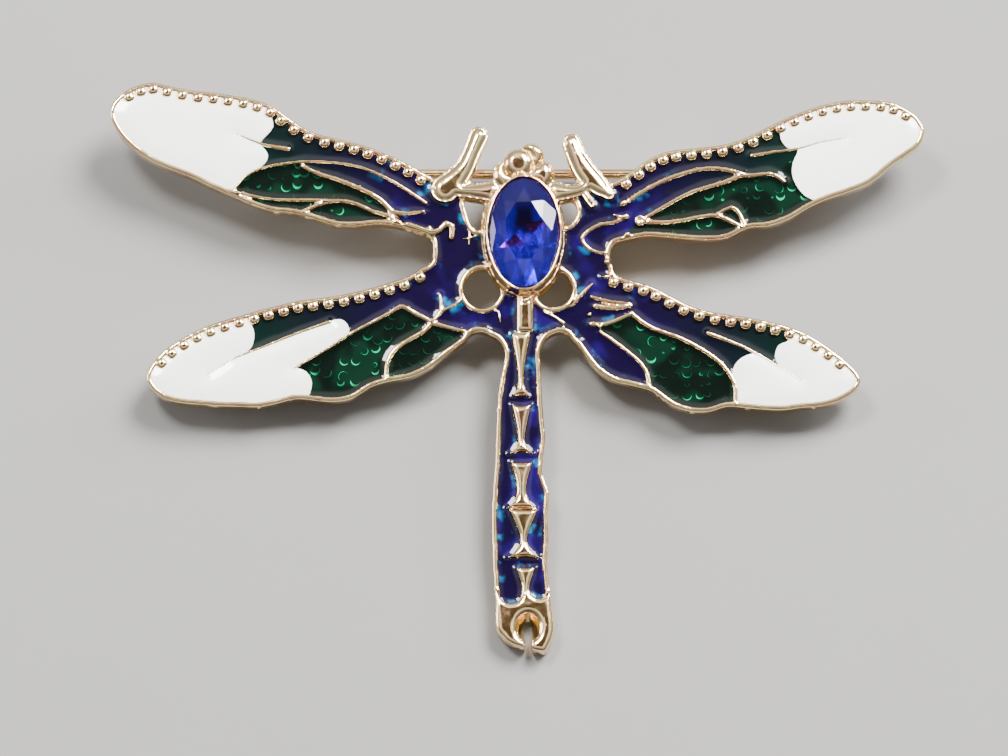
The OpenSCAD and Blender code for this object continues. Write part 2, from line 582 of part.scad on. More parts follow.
// Spine, hollowed where an oval lies between two of its pieces
module spine_flat() {
    difference() {
        for (s = SPINE)
            spine_piece(s);
        for (l = LENSES)
            translate([tail_half_w * l[2], tail_start - tail_l * l[0]])
                polygon(oval(tail_half_w * l[1], tail_l * lens_share));
    }
}

// Link between the setting and the tail
module link_flat() {
    link_top = stone_y - foot_out_l / 2 + lap;
    link_w = tail_half_w * link_share;
    link_end = tail_start - seam;
    translate([stone_x + link_shift - link_w / 2, link_end])
        square([link_w, link_top - link_end]);
}

// Fills the inner corners of a flat outline with a radius, at the places in a list
module filled_corners(r, places) {
    intersection() {
        offset(r = -r, $fn = disc_sides) offset(delta = r) children();
        for (p = places)
            translate(thorax_point(p)) circle(r = thorax_half_w * corner_reach, $fn = end_sides);
    }
    children();
}

// Outline of the plate without its openings
module plate_flat() {
    filled_corners(valley_r, VALLEYS) {
        filled_corners(notch_r, NOTCHES) {
            for (w = WINGS)
                wing_flat(w);
            thorax_flat();
            tail_flat();
        }
        head_flat();
        limbs_flat();
    }
}

// Whole outline of the casting
module silhouette() {
    cleaned() difference() {
        union() {
            difference() {
                plate_flat();
                openings_flat();
            }
            setting_flat();
            head_flat();
            limbs_flat();
            link_flat();
        }
        tip_opening_flat();
    }
}

// Metal that stands at full height inside the rim
module raised_flat() {
    for (w = WINGS)
        wing_veins_flat(w);
    setting_flat();
    head_flat();
    limbs_flat();
    tip_flat();
    link_flat();
    spine_flat();
}

// Sunk cells that hold the enamel
module cells() {
    cleaned() difference() {
        offset(delta = -rim_w) silhouette();
        raised_flat();
    }
}

module beads_flat() {
    for (w = WINGS, p = wing_beads(w))
        translate(p) circle(r = bead_r, $fn = pocket_sides);
}

module white_zone(w) {
    edge = open_curve(wing_line(w, WHITE_EDGES[w]));
    polygon(concat(edge, [wing_point(w, past_wing, -past_wing),
        wing_point(w, past_wing, past_wing)]));
}

module green_zone(w) {
    difference() {
        polygon(closed_curve(wing_line(w, GREEN_EDGES[w])));
        white_zone(w);
    }
}

// Half of the plate, without the tail
module side_zone(side) {
    half = forewing_reach * past_wing;
    inner = tail_half_w * tail_zone;
    translate([side < 0 ? -half : 0, tail_start + seam])
        square([half, half]);
    translate([side < 0 ? -half : inner, tail_start - half])
        square([half - inner, half + seam]);
}

// Outline of the enamel inside a zone, clear of the walls
module enamel_flat() {
    cleaned() offset(delta = -gap) intersection() {
        difference() {
            cells();
            beads_flat();
        }
        children();
    }
}

// Enamel that fills the cells inside a zone down to the floor, without loose specks
module enamel(below) {
    translate([0, 0, floor_z + gap])
        linear_extrude(cell_depth - gap - below)
            cleaned(speck / 2) intersection() {
                enamel_flat() children();
                offset(delta = 2 * speck) offset(delta = -speck) enamel_flat() children();
            }
}

module as_it_lies() {
    translate([-middle_x, -middle_y, lift]) rotate([rest_tilt, 0, 0]) children();
}

module bead(p) {
    translate([p[0], p[1], floor_z + bead_r * bead_rise]) sphere(r = bead_r, $fn = bead_sides);
}

// Part that stands on the plate, rooted in it
module raised(height) {
    root_z = floor_z / 2;
    translate([0, 0, root_z]) linear_extrude(height - root_z)
        offset(delta = -sliver) children();
}

module setting() {
    base_w = foot_out_w - 2 * sliver;
    base_l = foot_out_l - 2 * sliver;
    translate([stone_x, stone_y, floor_z])
        linear_extrude(bezel_h - floor_z, scale = [lip_out_w / base_w, lip_out_l / base_l])
            polygon(oval(base_w, base_l));
}

module stone_seat() {
    translate([stone_x, stone_y, seat_z]) linear_extrude(bezel_h) polygon(oval(seat_w, seat_l));
}

module casting() {
    color("#d9c08a") as_it_lies() difference() {
        union() {
            difference() {
                linear_extrude(plate_t) silhouette();
                translate([0, 0, floor_z]) linear_extrude(plate_t) cells();
            }
            for (w = WINGS, p = wing_beads(w))
                bead(p);
            setting();
            raised(antenna_h) limbs_flat();
            for (l = HEAD_LOBES)
                raised(head_h * l[3]) lobe_flat(l);
            raised(spine_h) difference() {
                union() {
                    spine_flat();
                    tip_flat();
                    link_flat();
                }
                tip_opening_flat();
            }
        }
        stone_seat();
    }
}

// Oval stone: table, stars, kites, girdle facets and a keel
module centre_stone() {
    n = stone_sides;
    crown_z = crown_h * (1 - girdle_share);
    half_w = stone_w / 2;
    half_l = stone_l / 2;
    table = [for (i = [0:n - 1]) let (a = 360 * (i + 0.5) / n)
        [half_w * table_share * cos(a), half_l * table_share * sin(a), crown_z]];
    stars = [for (i = [0:n - 1]) let (a = 360 * i / n)
        [half_w * star_share * cos(a), half_l * star_share * sin(a), crown_z * star_rise]];
    girdle = [for (z = [0, -crown_h * girdle_share], i = [0:2 * n - 1])
        let (a = 180 * i / n) [half_w * cos(a), half_l * sin(a), z]];
    keel = [for (s = [-1, 1]) [0, s * (half_l - half_w) / 2, -pavilion_h]];
    top = n;
    low = 2 * n;
    base = 4 * n;
    end = 6 * n;
    faces = concat(
        [[for (i = [n - 1:-1:0]) i]],
        [for (i = [0:n - 1]) [(i + n - 1) % n, i, top + i]],
        [for (i = [0:n - 1]) [i, top + (i + 1) % n, low + 2 * i + 1]],
        [for (i = [0:n - 1]) [i, low + 2 * i + 1, top + i]],
        [for (i = [0:n - 1]) [top + i, low + 2 * i + 1, low + 2 * i]],
        [for (i = [0:n - 1]) [top + i, low + 2 * i, low + (2 * i + 2 * n - 1) % (2 * n)]],
        [for (i = [0:2 * n - 1]) [low + i, low + (i + 1) % (2 * n), base + i]],
        [for (i = [0:2 * n - 1]) [base + i, low + (i + 1) % (2 * n), base + (i + 1) % (2 * n)]],
        [for (i = [0:2 * n - 1]) [base + i, base + (i + 1) % (2 * n), end + (i < n ? 1 : 0)]],
        [[base, end + 1, end], [base + n, end, end + 1]]);
    color("#1c2fd0") as_it_lies() translate([stone_x, stone_y, girdle_z])
        polyhedron(concat(table, stars, girdle, keel), faces);
}

module blue_enamel(side) {
    color("#14143c") as_it_lies() enamel(blue_below) difference() {
        side_zone(side);
        for (w = WINGS) {
            white_zone(w);
            green_zone(w);
        }
    }
}

module tail_enamel() {
    color("#15153f") as_it_lies() enamel(blue_below)
        translate([-tail_half_w * tail_zone, tail_end])
            square([2 * tail_half_w * tail_zone, tail_l + seam]);
}

module green_enamel(w) {
    color("#0f3d2c") as_it_lies() enamel(blue_below) green_zone(w);
}

module white_enamel(w) {
    color("#f7f7f4") as_it_lies() enamel(white_below) white_zone(w);
}

// Round foot with a post up to the back of the wing
module pin_foot(x) {
    translate([x - foot_l / 2, pin_line, -stem_drop]) rotate([0, 90, 0])
        cylinder(d = foot_d, h = foot_l, $fn = 32);
    translate([x - foot_l / 2, pin_line - foot_d * post_share / 2, -stem_drop])
        cube([foot_l, foot_d * post_share, stem_drop - gap]);
}

module brooch_pin() {
    stem_l = joint_out + catch_out + foot_l / 2;
    color("#cdb27c") as_it_lies() {
        pin_foot(-joint_out);
        pin_foot(catch_out);
        translate([-joint_out, pin_line, -stem_drop]) rotate([0, 90, 0]) {
            cylinder(d = stem_d, h = stem_l, $fn = disc_sides);
            translate([0, 0, stem_l])
                cylinder(d1 = stem_d, d2 = stem_d * point_share, h = stem_past, $fn = disc_sides);
        }
    }
}

casting();
centre_stone();
blue_enamel(-1);  // left_blue_enamel
blue_enamel(1);  // right_blue_enamel
tail_enamel();
green_enamel(LEFT_FORE);  // left_fore_green_enamel
green_enamel(RIGHT_FORE);  // right_fore_green_enamel
green_enamel(LEFT_HIND);  // left_hind_green_enamel
green_enamel(RIGHT_HIND);  // right_hind_green_enamel
white_enamel(LEFT_FORE);  // left_fore_white_enamel
white_enamel(RIGHT_FORE);  // right_fore_white_enamel
white_enamel(LEFT_HIND);  // left_hind_white_enamel
white_enamel(RIGHT_HIND);  // right_hind_white_enamel
brooch_pin();
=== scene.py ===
"""Looks of a dragonfly brooch: cast metal with raised veins and beads, enamel cells and a faceted stone.

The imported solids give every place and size. Each sub-assembly is a class that takes its outlines from
those solids, builds finer meshes on them and dresses each mesh in its own finish. Lengths of the object
are in millimetres in the flat frame of the brooch's face, and FaceFrame turns them into the part's frame.
"""

from __future__ import annotations

import logging
import math
from dataclasses import dataclass, field
from enum import Enum
from typing import ClassVar

import bpy
import numpy as np
from mathutils import Matrix, Vector
from mathutils.geometry import delaunay_2d_cdt
from mathutils.kdtree import KDTree

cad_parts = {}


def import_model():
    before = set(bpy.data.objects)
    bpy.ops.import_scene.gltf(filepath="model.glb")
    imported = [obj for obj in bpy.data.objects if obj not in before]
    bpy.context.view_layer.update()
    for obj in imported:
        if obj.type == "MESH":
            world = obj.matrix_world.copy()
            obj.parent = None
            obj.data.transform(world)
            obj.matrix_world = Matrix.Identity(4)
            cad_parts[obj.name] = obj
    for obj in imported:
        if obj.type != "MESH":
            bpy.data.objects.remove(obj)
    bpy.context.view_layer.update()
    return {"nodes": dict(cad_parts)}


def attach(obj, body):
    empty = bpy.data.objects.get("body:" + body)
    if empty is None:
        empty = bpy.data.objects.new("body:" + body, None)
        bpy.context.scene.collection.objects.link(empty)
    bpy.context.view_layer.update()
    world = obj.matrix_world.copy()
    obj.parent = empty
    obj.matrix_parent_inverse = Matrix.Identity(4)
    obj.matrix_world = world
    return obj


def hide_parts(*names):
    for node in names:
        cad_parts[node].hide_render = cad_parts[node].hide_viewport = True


LOG = logging.getLogger("brooch")
MM = 0.001
BODY = "root"
# Distance in mm within which two corners are one.
WELD = 0.0005
# Keeps a sum from being divided by nothing.
TINY = 1e-12

Colour = tuple[float, float, float]
Place = tuple[float, float]
Span = tuple[float, float]
Stops = list[tuple[float, Colour]]
MeshData = tuple[np.ndarray, list]


class Side(Enum):
    """Side of the body line that a wing lies on, in the words of the solids' names."""

    LEFT = "left"
    RIGHT = "right"


class Wing(Enum):
    """Pair of wings, in the words of the solids' names."""

    FORE = "fore"
    HIND = "hind"


class Slot(Enum):
    """Kind of material of a piece, by name."""

    GOLD = "gold_metal"
    STONE = "blue_stone"
    BLUE = "blue_enamel"
    GREEN = "green_enamel"
    WHITE = "white_enamel"
    PIN = "pin_metal"


class Shader:
    """Node tree of one material, written step by step."""

    def __init__(self, name: str) -> None:
        """Starts a material with one glossy surface.

        Args:
            name: name of the material.
        """
        self.material = bpy.data.materials.new(name)
        self.material.use_nodes = True
        self.tree = self.material.node_tree
        self.surface = self.tree.nodes["Principled BSDF"]

    def node(self, kind: str, **settings: object) -> bpy.types.Node:
        """Adds a node.

        Args:
            kind: class name of the node.
            settings: attributes to set on it.

        Returns:
            The new node.
        """
        made = self.tree.nodes.new(kind)
        for key, value in settings.items():
            setattr(made, key, value)
        return made

    def feed(self, source: object, socket: bpy.types.NodeSocket) -> None:
        """Links an output to an input, or sets the input to a value.

        Args:
            source: the output or the value.
            socket: the input.
        """
        if isinstance(source, bpy.types.NodeSocket):
            self.tree.links.new(source, socket)
        else:
            socket.default_value = source

    def place(self) -> bpy.types.NodeSocket:
        """Place on the object in metres, in the part's frame."""
        return self.node("ShaderNodeTexCoord").outputs["Object"]

    def stored(self, name: str) -> bpy.types.NodeSocket:
        """Number stored on the mesh under a name."""
        return self.node("ShaderNodeAttribute", attribute_name=name).outputs["Fac"]

    def maths(self, operation: str, a: object, b: object = 0.0, c: object = 0.0) -> bpy.types.NodeSocket:
        """Result of a sum on one to three numbers.

        Args:
            operation: name of the operation.
            a: first number or output.
            b: second number or output.
            c: third number or output.

        Returns:
            The output that holds the result.
        """
        node = self.node("ShaderNodeMath", operation=operation)
        for value, socket in zip((a, b, c), node.inputs):
            self.feed(value, socket)
        return node.outputs[0]

    def vector(self, operation: str, a: object, b: object) -> bpy.types.Node:
        """Node that works on two vectors.

        Args:
            operation: name of the operation.
            a: first vector or output.
            b: second vector or output.

        Returns:
            The node.
        """
        node = self.node("ShaderNodeVectorMath", operation=operation)
        self.feed(a, node.inputs[0])
        self.feed(b, node.inputs[1])
        return node

    def noise(self, size: float, detail: float = 2.0) -> bpy.types.NodeSocket:
        """Soft random pattern at the place on the object.

        Args:
            size: size of its patches in mm.
            detail: number of finer layers.

        Returns:
            The output that holds the pattern, about 0.5 on average.
        """
        node = self.node("ShaderNodeTexNoise")
        self.feed(self.place(), node.inputs["Vector"])
        node.inputs["Scale"].default_value = 1.0 / (size * MM)
        node.inputs["Detail"].default_value = detail
        return node.outputs["Fac"]

    def between(
        self, value: object, span: Span, start: float = 0.0, end: float = 1.0
    ) -> bpy.types.NodeSocket:
        """Value mapped smoothly from one range to another, and held inside it.

        Args:
            value: the number or output.
            span: range that it is taken from.
            start: result at the low end.
            end: result at the high end.

        Returns:
            The output that holds the result.
        """
        node = self.node("ShaderNodeMapRange", interpolation_type="SMOOTHSTEP")
        for given, socket in zip((value, *span, start, end), node.inputs):
            self.feed(given, socket)
        return node.outputs[0]

    def ramp(self, factor: object, stops: Stops) -> bpy.types.NodeSocket:
        """Colours along a number from 0 to 1.

        Args:
            factor: the number.
            stops: rows of a position and its colour.

        Returns:
            The output that holds the colour.
        """
        node = self.node("ShaderNodeValToRGB")
        set_stops(node, stops)
        self.feed(factor, node.inputs["Fac"])
        return node.outputs["Color"]

    def mix(self, factor: object, first: object, second: object) -> bpy.types.NodeSocket:
        """Two colours mixed by a factor.

        Args:
            factor: share of the second colour.
            first: first colour or output.
            second: second colour or output.

        Returns:
            The output that holds the colour.
        """
        node = self.node("ShaderNodeMix", data_type="RGBA", blend_type="MIX")
        self.feed(factor, node.inputs[0])
        for value, socket in ((first, node.inputs[6]), (second, node.inputs[7])):
            self.feed((*value, 1.0) if isinstance(value, tuple) else value, socket)
        return node.outputs[2]

    def bump(self, height: object, depth: float, strength: float = 1.0, socket: str = "Normal") -> None:
        """Roughens the surface's normal.

        Args:
            height: pattern from 0 to 1.
            depth: height in mm that 1 stands for.
            strength: share of the effect.
            socket: input of the surface that it goes to.
        """
        node = self.node("ShaderNodeBump")
        node.inputs["Distance"].default_value = depth * MM
        node.inputs["Strength"].default_value = strength
        self.feed(height, node.inputs["Height"])
        self.feed(node.outputs["Normal"], self.surface.inputs[socket])

    def settle(self, **values: object) -> bpy.types.Material:
        """Sets the surface's own inputs, with underscores for the spaces in their names.

        Args:
            values: input names and their numbers, colours or outputs.

        Returns:
            The finished material.
        """
        for key, value in values.items():
            self.feed(value, self.surface.inputs[key.replace("_", " ")])
        return self.material


def set_stops(ramp: bpy.types.Node, stops: Stops) -> None:
    """Writes the stops of a colour ramp.

    Args:
        ramp: the ramp's node.
        stops: rows of a position and its colour.
    """
    bar = ramp.color_ramp.elements
    while len(bar) < len(stops):
        bar.new(0.5)
    for element, (position, colour) in zip(bar, stops):
        element.position = position
        element.color = (*colour, 1.0)


@dataclass(frozen=True)
class GoldPlating:
    """Polished pale gold over a casting, a little uneven and browner in patches.

    Sizes of patterns and heights are in mm, and a span is the part of a pattern that counts.
    """

    bright: Colour = (1.0, 0.79, 0.41)
    deep: Colour = (0.92, 0.60, 0.36)
    patch_size: float = 2.6
    patch_span: Span = (0.35, 0.7)
    grain_size: float = 0.35
    grain_share: float = 0.05
    wave_size: float = 1.1
    wave_height: float = 0.04
    scuff_size: float = 0.8
    scuff_span: Span = (0.35, 0.75)
    smooth: float = 0.07
    dull: float = 0.17

    def material(self, name: str) -> bpy.types.Material:
        """Gold of the casting or of the pin.

        Args:
            name: name of the material.

        Returns:
            The material.
        """
        shader = Shader(name)
        patches = shader.noise(self.patch_size, detail=3.0)
        colour = shader.mix(shader.between(patches, self.patch_span), self.bright, self.deep)
        grain = shader.noise(self.grain_size, detail=4.0)
        waves = shader.noise(self.wave_size)
        height = shader.maths("MULTIPLY_ADD", grain, self.grain_share, waves)
        shader.bump(height, self.wave_height)
        scuffs = shader.noise(self.scuff_size, detail=4.0)
        rough = shader.between(scuffs, self.scuff_span, self.smooth, self.dull)
        return shader.settle(Base_Color=colour, Metallic=1.0, Roughness=rough)


@dataclass(frozen=True)
class ClearCoat:
    """Polished clear enamel over a ground that has no gloss of its own."""

    ground_gloss: float = 0.02
    weight: float = 1.0
    roughness: float = 0.02
    refraction: float = 1.38

    def inputs(self) -> dict[str, float]:
        """Values of the surface's inputs by name."""
        return {"Specular_IOR_Level": self.ground_gloss, "Coat_Weight": self.weight,
                "Coat_Roughness": self.roughness, "Coat_IOR": self.refraction}


@dataclass(frozen=True)
class DarkEnamel:
    """Clear dark enamel over a brushed ground: blue at the body, then black-green along the wing.

    Sizes of patterns and distances from the metal are in mm; shares of the wing run from 0 at the body.
    """

    navy: Colour = (0.0020, 0.0001, 0.0130)
    royal: Colour = (0.0060, 0.0002, 0.055)
    # Painted sheen: teal streaks of light along the walls near the body.
    sheen_teal: Colour = (0.002, 0.09, 0.21)
    night: Colour = (0.001, 0.002, 0.006)
    bottle: Colour = (0.0005, 0.007, 0.005)
    navy_until: float = 0.30
    night_at: float = 0.47
    bottle_from: float = 0.66
    inner_span: Span = (0.20, 0.42)
    cloud_size: float = 3.2
    cloud_span: Span = (0.48, 0.70)
    streak_size: float = 1.5
    streak_span: Span = (0.56, 0.70)
    edge_span: Span = (0.05, 0.65)
    ripple_size: float = 0.9
    ripple_height: float = 0.015
    ripple_share: float = 0.6
    metal_share: float = 0.15
    roughness: float = 0.40
    coat: ClearCoat = ClearCoat()

    def material(self, name: str) -> bpy.types.Material:
        """Dark enamel of the thorax, tail and inner wings.

        Args:
            name: name of the material.

        Returns:
            The material.
        """
        shader = Shader(name)
        along = shader.stored("span")
        stops = [(0.0, self.navy), (self.navy_until, self.navy), (self.night_at, self.night),
                 (self.bottle_from, self.bottle)]
        base = shader.ramp(along, stops)
        cloud = shader.between(shader.noise(self.cloud_size), self.cloud_span)
        inner = shader.between(along, self.inner_span, 1.0, 0.0)
        base = shader.mix(shader.maths("MULTIPLY", cloud, inner), base, self.royal)
        # Painted sheen: teal streaks by the walls, near the body only.
        streak = shader.between(shader.noise(self.streak_size, detail=3.0), self.streak_span)
        edge = shader.between(shader.stored("wall"), self.edge_span, 1.0, 0.0)
        wall_sheen = shader.maths("MULTIPLY", shader.maths("MULTIPLY", streak, edge), inner)
        base = shader.mix(wall_sheen, base, self.sheen_teal)
        shader.bump(shader.noise(self.ripple_size), self.ripple_height, self.ripple_share, "Coat Normal")
        return shader.settle(Base_Color=base, Metallic=self.metal_share, Roughness=self.roughness,
                             **self.coat.inputs())


@dataclass(frozen=True)
class GreenEnamel:
    """Clear bottle green enamel over a ground with rows of punched crescents.

    A crescent is a disc less the same disc moved by its lean. Sizes of patterns, heights and distances
    from the metal are in mm.
    """

    dark: Colour = (0.0005, 0.003, 0.002)
    green: Colour = (0.0008, 0.011, 0.006)
    # Painted glint: the bright green that the punched crescents reflect.
    glint: Colour = (0.001, 0.27, 0.11)
    punch: float = 1.0
    scatter: float = 0.55
    radius: float = 0.45
    soft: float = 0.05
    offset: float = 0.17
    lean_middle: Colour = (0.5, 0.1, 0.5)
    lean_u: float = 1.2
    lean_v: float = 1.6
    clear_span: Span = (0.20, 0.70)
    lively_size: float = 2.4
    lively_span: Span = (0.44, 0.64)
    least_glint: float = 0.05
    punch_height: float = 0.08
    punch_share: float = 0.8
    metal_share: float = 0.3
    roughness: float = 0.36
    coat: ClearCoat = ClearCoat()

    def crescents(self, shader: Shader) -> bpy.types.NodeSocket:
        """Pattern of crescents, one in each cell of a scattered grid.

        Args:
            shader: the material's node tree.

        Returns:
            The output that is 1 on a crescent and 0 elsewhere.
        """
        place = shader.vector("MULTIPLY", shader.place(), (1.0, 1.0, 0.0)).outputs[0]
        cells = shader.node("ShaderNodeTexVoronoi")
        shader.feed(place, cells.inputs["Vector"])
        cells.inputs["Scale"].default_value = 1.0 / (self.punch * MM)
        cells.inputs["Randomness"].default_value = self.scatter
        middle = cells.outputs["Position"]
        disc = shader.vector("DISTANCE", place, middle).outputs["Value"]
        reach = (self.lean_u * self.offset * MM, self.lean_v * self.offset * MM, 0.0)
        lean = shader.vector("SUBTRACT", cells.outputs["Color"], self.lean_middle).outputs[0]
        lean = shader.vector("MULTIPLY", lean, reach).outputs[0]
        moved = shader.vector("ADD", middle, lean).outputs[0]
        hollow = shader.vector("DISTANCE", place, moved).outputs["Value"]
        rim = (self.radius * MM - self.soft * MM, self.radius * MM)
        return shader.maths("MULTIPLY", shader.between(disc, rim, 1.0, 0.0), shader.between(hollow, rim))

    def material(self, name: str) -> bpy.types.Material:
        """Green enamel of the wings' rear cells.

        Args:
            name: name of the material.

        Returns:
            The material.
        """
        shader = Shader(name)
        crescent = self.crescents(shader)
        clear = shader.between(shader.stored("wall"), self.clear_span)
        lively = shader.between(shader.noise(self.lively_size, detail=1.0), self.lively_span)
        lively = shader.maths("MULTIPLY", lively, clear)
        glow = shader.maths("MULTIPLY_ADD", lively, 1.0 - self.least_glint, self.least_glint)
        base = shader.mix(lively, self.dark, self.green)
        # Painted glint on the crescents, dimmer by the walls and in patches.
        base = shader.mix(shader.maths("MULTIPLY", crescent, glow), base, self.glint)
        shader.bump(crescent, self.punch_height, self.punch_share)
        return shader.settle(Base_Color=base, Metallic=self.metal_share, Roughness=self.roughness,
                             **self.coat.inputs())


@dataclass(frozen=True)
class WhiteEnamel:
    """Opaque white enamel, glossy and domed, a little warmer where it is thin."""

    white: Colour = (0.96, 0.96, 0.95)
    thin: Colour = (0.74, 0.72, 0.66)
    edge_span: Span = (0.0, 0.22)
    cloud_size: float = 2.0
    cloud_share: float = 0.2
    cloud_start: float = -0.06
    ripple_size: float = 2.8
    ripple_height: float = 0.03
    ripple_share: float = 0.5
    roughness: float = 0.22
    coat_weight: float = 0.8
    coat_roughness: float = 0.03
    milk: float = 0.05
    milk_depth: float = 0.4

    def material(self, name: str) -> bpy.types.Material:
        """White enamel of the wing tips.

        Args:
            name: name of the material.

        Returns:
            The material.
        """
        shader = Shader(name)
        edge = shader.between(shader.stored("wall"), self.edge_span, 1.0, 0.0)
        cloud = shader.noise(self.cloud_size, detail=3.0)
        cloud = shader.maths("MULTIPLY_ADD", cloud, self.cloud_share, self.cloud_start)
        base = shader.mix(shader.maths("MAXIMUM", edge, cloud), self.white, self.thin)
        shader.bump(shader.noise(self.ripple_size), self.ripple_height, self.ripple_share)
        return shader.settle(Base_Color=base, Roughness=self.roughness, Coat_Weight=self.coat_weight,
                             Coat_Roughness=self.coat_roughness, Subsurface_Weight=self.milk,
                             Subsurface_Scale=self.milk_depth * MM)


@dataclass(frozen=True)
class StoneGlass:
    """Royal blue glass of the stone's crown, a little deeper in clouds."""

    blue: Colour = (0.13, 0.004, 0.86)
    deep: Colour = (0.10, 0.003, 0.82)
    cloud_size: float = 3.0
    roughness: float = 0.01
    refraction: float = 1.58

    def material(self, name: str) -> bpy.types.Material:
        """Clear blue glass.

        Args:
            name: name of the material.

        Returns:
            The material.
        """
        shader = Shader(name)
        base = shader.mix(shader.noise(self.cloud_size, detail=1.0), self.blue, self.deep)
        return shader.settle(Base_Color=base, Roughness=self.roughness, IOR=self.refraction,
                             Transmission_Weight=1.0)


@dataclass(frozen=True)
class StoneFoil:
    """Blue mirror foil behind the stone, with painted shade towards the upper end of its keel."""

    violet: Colour = (0.34, 0.0, 0.60)
    blue: Colour = (0.22, 0.0, 0.78)
    # Painted shade: the stone's dark patch at the upper end of its keel.
    painted_shade: Colour = (0.012, 0.002, 0.07)
    patch_size: float = 2.0
    painted_shade_span: Span = (0.30, 0.75)
    metal_share: float = 0.92
    roughness: float = 0.18

    def material(self, name: str) -> bpy.types.Material:
        """Foil of the stone's lower facets.

        Args:
            name: name of the material.

        Returns:
            The material.
        """
        shader = Shader(name)
        base = shader.mix(shader.noise(self.patch_size, detail=1.0), self.violet, self.blue)
        # Painted shade on the foil where the stone looks dark.
        base = shader.mix(shader.between(shader.stored("painted_shade"), self.painted_shade_span), base, self.painted_shade)
        return shader.settle(Base_Color=base, Metallic=self.metal_share, Roughness=self.roughness)


@dataclass(frozen=True)
class PaleFloor:
    """Plain matt floor with a faint mottle."""

    pale: Colour = (0.20, 0.20, 0.20)
    mottle: float = 0.97
    mottle_size: float = 6.0
    roughness: float = 0.75

    def material(self, name: str) -> bpy.types.Material:
        """Matt paint.

        Args:
            name: name of the material.

        Returns:
            The material.
        """
        shader = Shader(name)
        dim = tuple(self.mottle * c for c in self.pale)
        base = shader.mix(shader.noise(self.mottle_size, detail=3.0), self.pale, dim)
        return shader.settle(Base_Color=base, Roughness=self.roughness)


@dataclass(frozen=True)
class FaceFrame:
    """Flat frame of the brooch's face: u to the right wings, v to the head, w off the back, in mm.

    The origin is where the body line crosses the wing line, on the back of the plate.
    """

    turn: Matrix
    shift: Vector
    wing_reach: ClassVar[float] = 34.8
    tail_reach: ClassVar[float] = 35.92
    facing_down: ClassVar[float] = -0.9

    @classmethod
    def of(cls, casting: bpy.types.Object) -> "FaceFrame":
        """Frame of a casting as it lies.

        Args:
            casting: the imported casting, whose flat back gives the tilt.

        Returns:
            The frame.
        """
        back = Vector()
        for polygon in casting.data.polygons:
            if polygon.normal.z < cls.facing_down:
                back += polygon.normal * polygon.area
        turn = Matrix.Rotation(math.atan2(back.y, -back.z), 3, "X")
        flat = coordinates(casting.data) @ np.array(turn) / MM
        low = flat.min(axis=0)
        shift = Vector((low[0] + cls.wing_reach, low[1] + cls.tail_reach, low[2]))
        return cls(turn, shift)

    def to_face(self, points: np.ndarray) -> np.ndarray:
        """Points of the part's frame, in metres, as places on the face in mm."""
        return points @ np.array(self.turn) / MM - np.array(self.shift)

    def to_part(self, points: np.ndarray) -> np.ndarray:
        """Places on the face in mm as points of the part's frame, in metres."""
        return ((points + np.array(self.shift)) * MM) @ np.array(self.turn).T


def coordinates(mesh: bpy.types.Mesh) -> np.ndarray:
    """Corners of a mesh.

    Args:
        mesh: the mesh.

    Returns:
        One row for each corner.
    """
    flat = np.empty(len(mesh.vertices) * 3, np.float64)
    mesh.vertices.foreach_get("co", flat)
    return flat.reshape(-1, 3)


def welded(source: bpy.types.Object, face: FaceFrame) -> tuple[np.ndarray, np.ndarray]:
    """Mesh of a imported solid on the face, with its doubled corners merged.

    Args:
        source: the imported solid.
        face: the frame of the face.

    Returns:
        The corners in mm and the triangles between them.
    """
    mesh = source.data
    mesh.calc_loop_triangles()
    corners = np.empty(len(mesh.loop_triangles) * 3, np.int32)
    mesh.loop_triangles.foreach_get("vertices", corners)
    places = face.to_face(coordinates(mesh))
    keys = np.round(places / WELD).astype(np.int64)
    _, first, back = np.unique(keys, axis=0, return_index=True, return_inverse=True)
    triangles = back.reshape(-1)[corners].reshape(-1, 3)
    whole = (triangles[:, 0] != triangles[:, 1]) & (triangles[:, 1] != triangles[:, 2])
    whole &= triangles[:, 2] != triangles[:, 0]
    return places[first], triangles[whole]


def outline_loops(triangles: np.ndarray) -> list[list[int]]:
    """Closed outlines of a flat patch.

    Args:
        triangles: its triangles, all turned the same way.

    Returns:
        One list of corners for each outline, with the patch on its left.
    """
    edges = {(a, b) for t in triangles.tolist() for a, b in ((t[0], t[1]), (t[1], t[2]), (t[2], t[0]))}
    onward: dict[int, list[int]] = {}
    for a, b in sorted(edges):
        if (b, a) not in edges:
            onward.setdefault(a, []).append(b)
    loops = []
    while onward:
        start = next(iter(onward))
        loop = [start]
        here = start
        while here in onward:
            after = onward[here].pop()
            if not onward[here]:
                del onward[here]
            if after == start:
                break
            loop.append(after)
            here = after
        if len(loop) > 2:
            loops.append(loop)
    return loops


def steps_along(start: np.ndarray, end: np.ndarray, step: float) -> list[np.ndarray]:
    """Points from one place up to, but not at, another.

    Args:
        start: the first place.
        end: the place that the row stops before.
        step: greatest distance between two points.

    Returns:
        The points.
    """
    along = end - start
    count = max(1, math.ceil(float(np.linalg.norm(along)) / step))
    return [start + along * k / count for k in range(count)]


def split_loop(loop: np.ndarray, step: float) -> np.ndarray:
    """Closed outline with more points.

    Args:
        loop: the outline.
        step: greatest distance between two points.

    Returns:
        The finer outline.
    """
    points = []
    for a, b in zip(loop, np.roll(loop, -1, axis=0)):
        points.extend(steps_along(a, b, step))
    return np.array(points)


def grown_loop(loop: np.ndarray, by: float) -> np.ndarray:
    """Closed outline moved outwards, away from the patch on its left.

    Args:
        loop: the outline.
        by: distance that it is moved by, or less than 0 to move it inwards.

    Returns:
        The moved outline.
    """
    ahead = np.roll(loop, -1, axis=0) - loop
    behind = loop - np.roll(loop, 1, axis=0)
    normals = np.stack([ahead[:, 1] + behind[:, 1], -ahead[:, 0] - behind[:, 0]], axis=1)
    lengths = np.maximum(np.linalg.norm(normals, axis=1, keepdims=True), TINY)
    return loop + normals / lengths * by


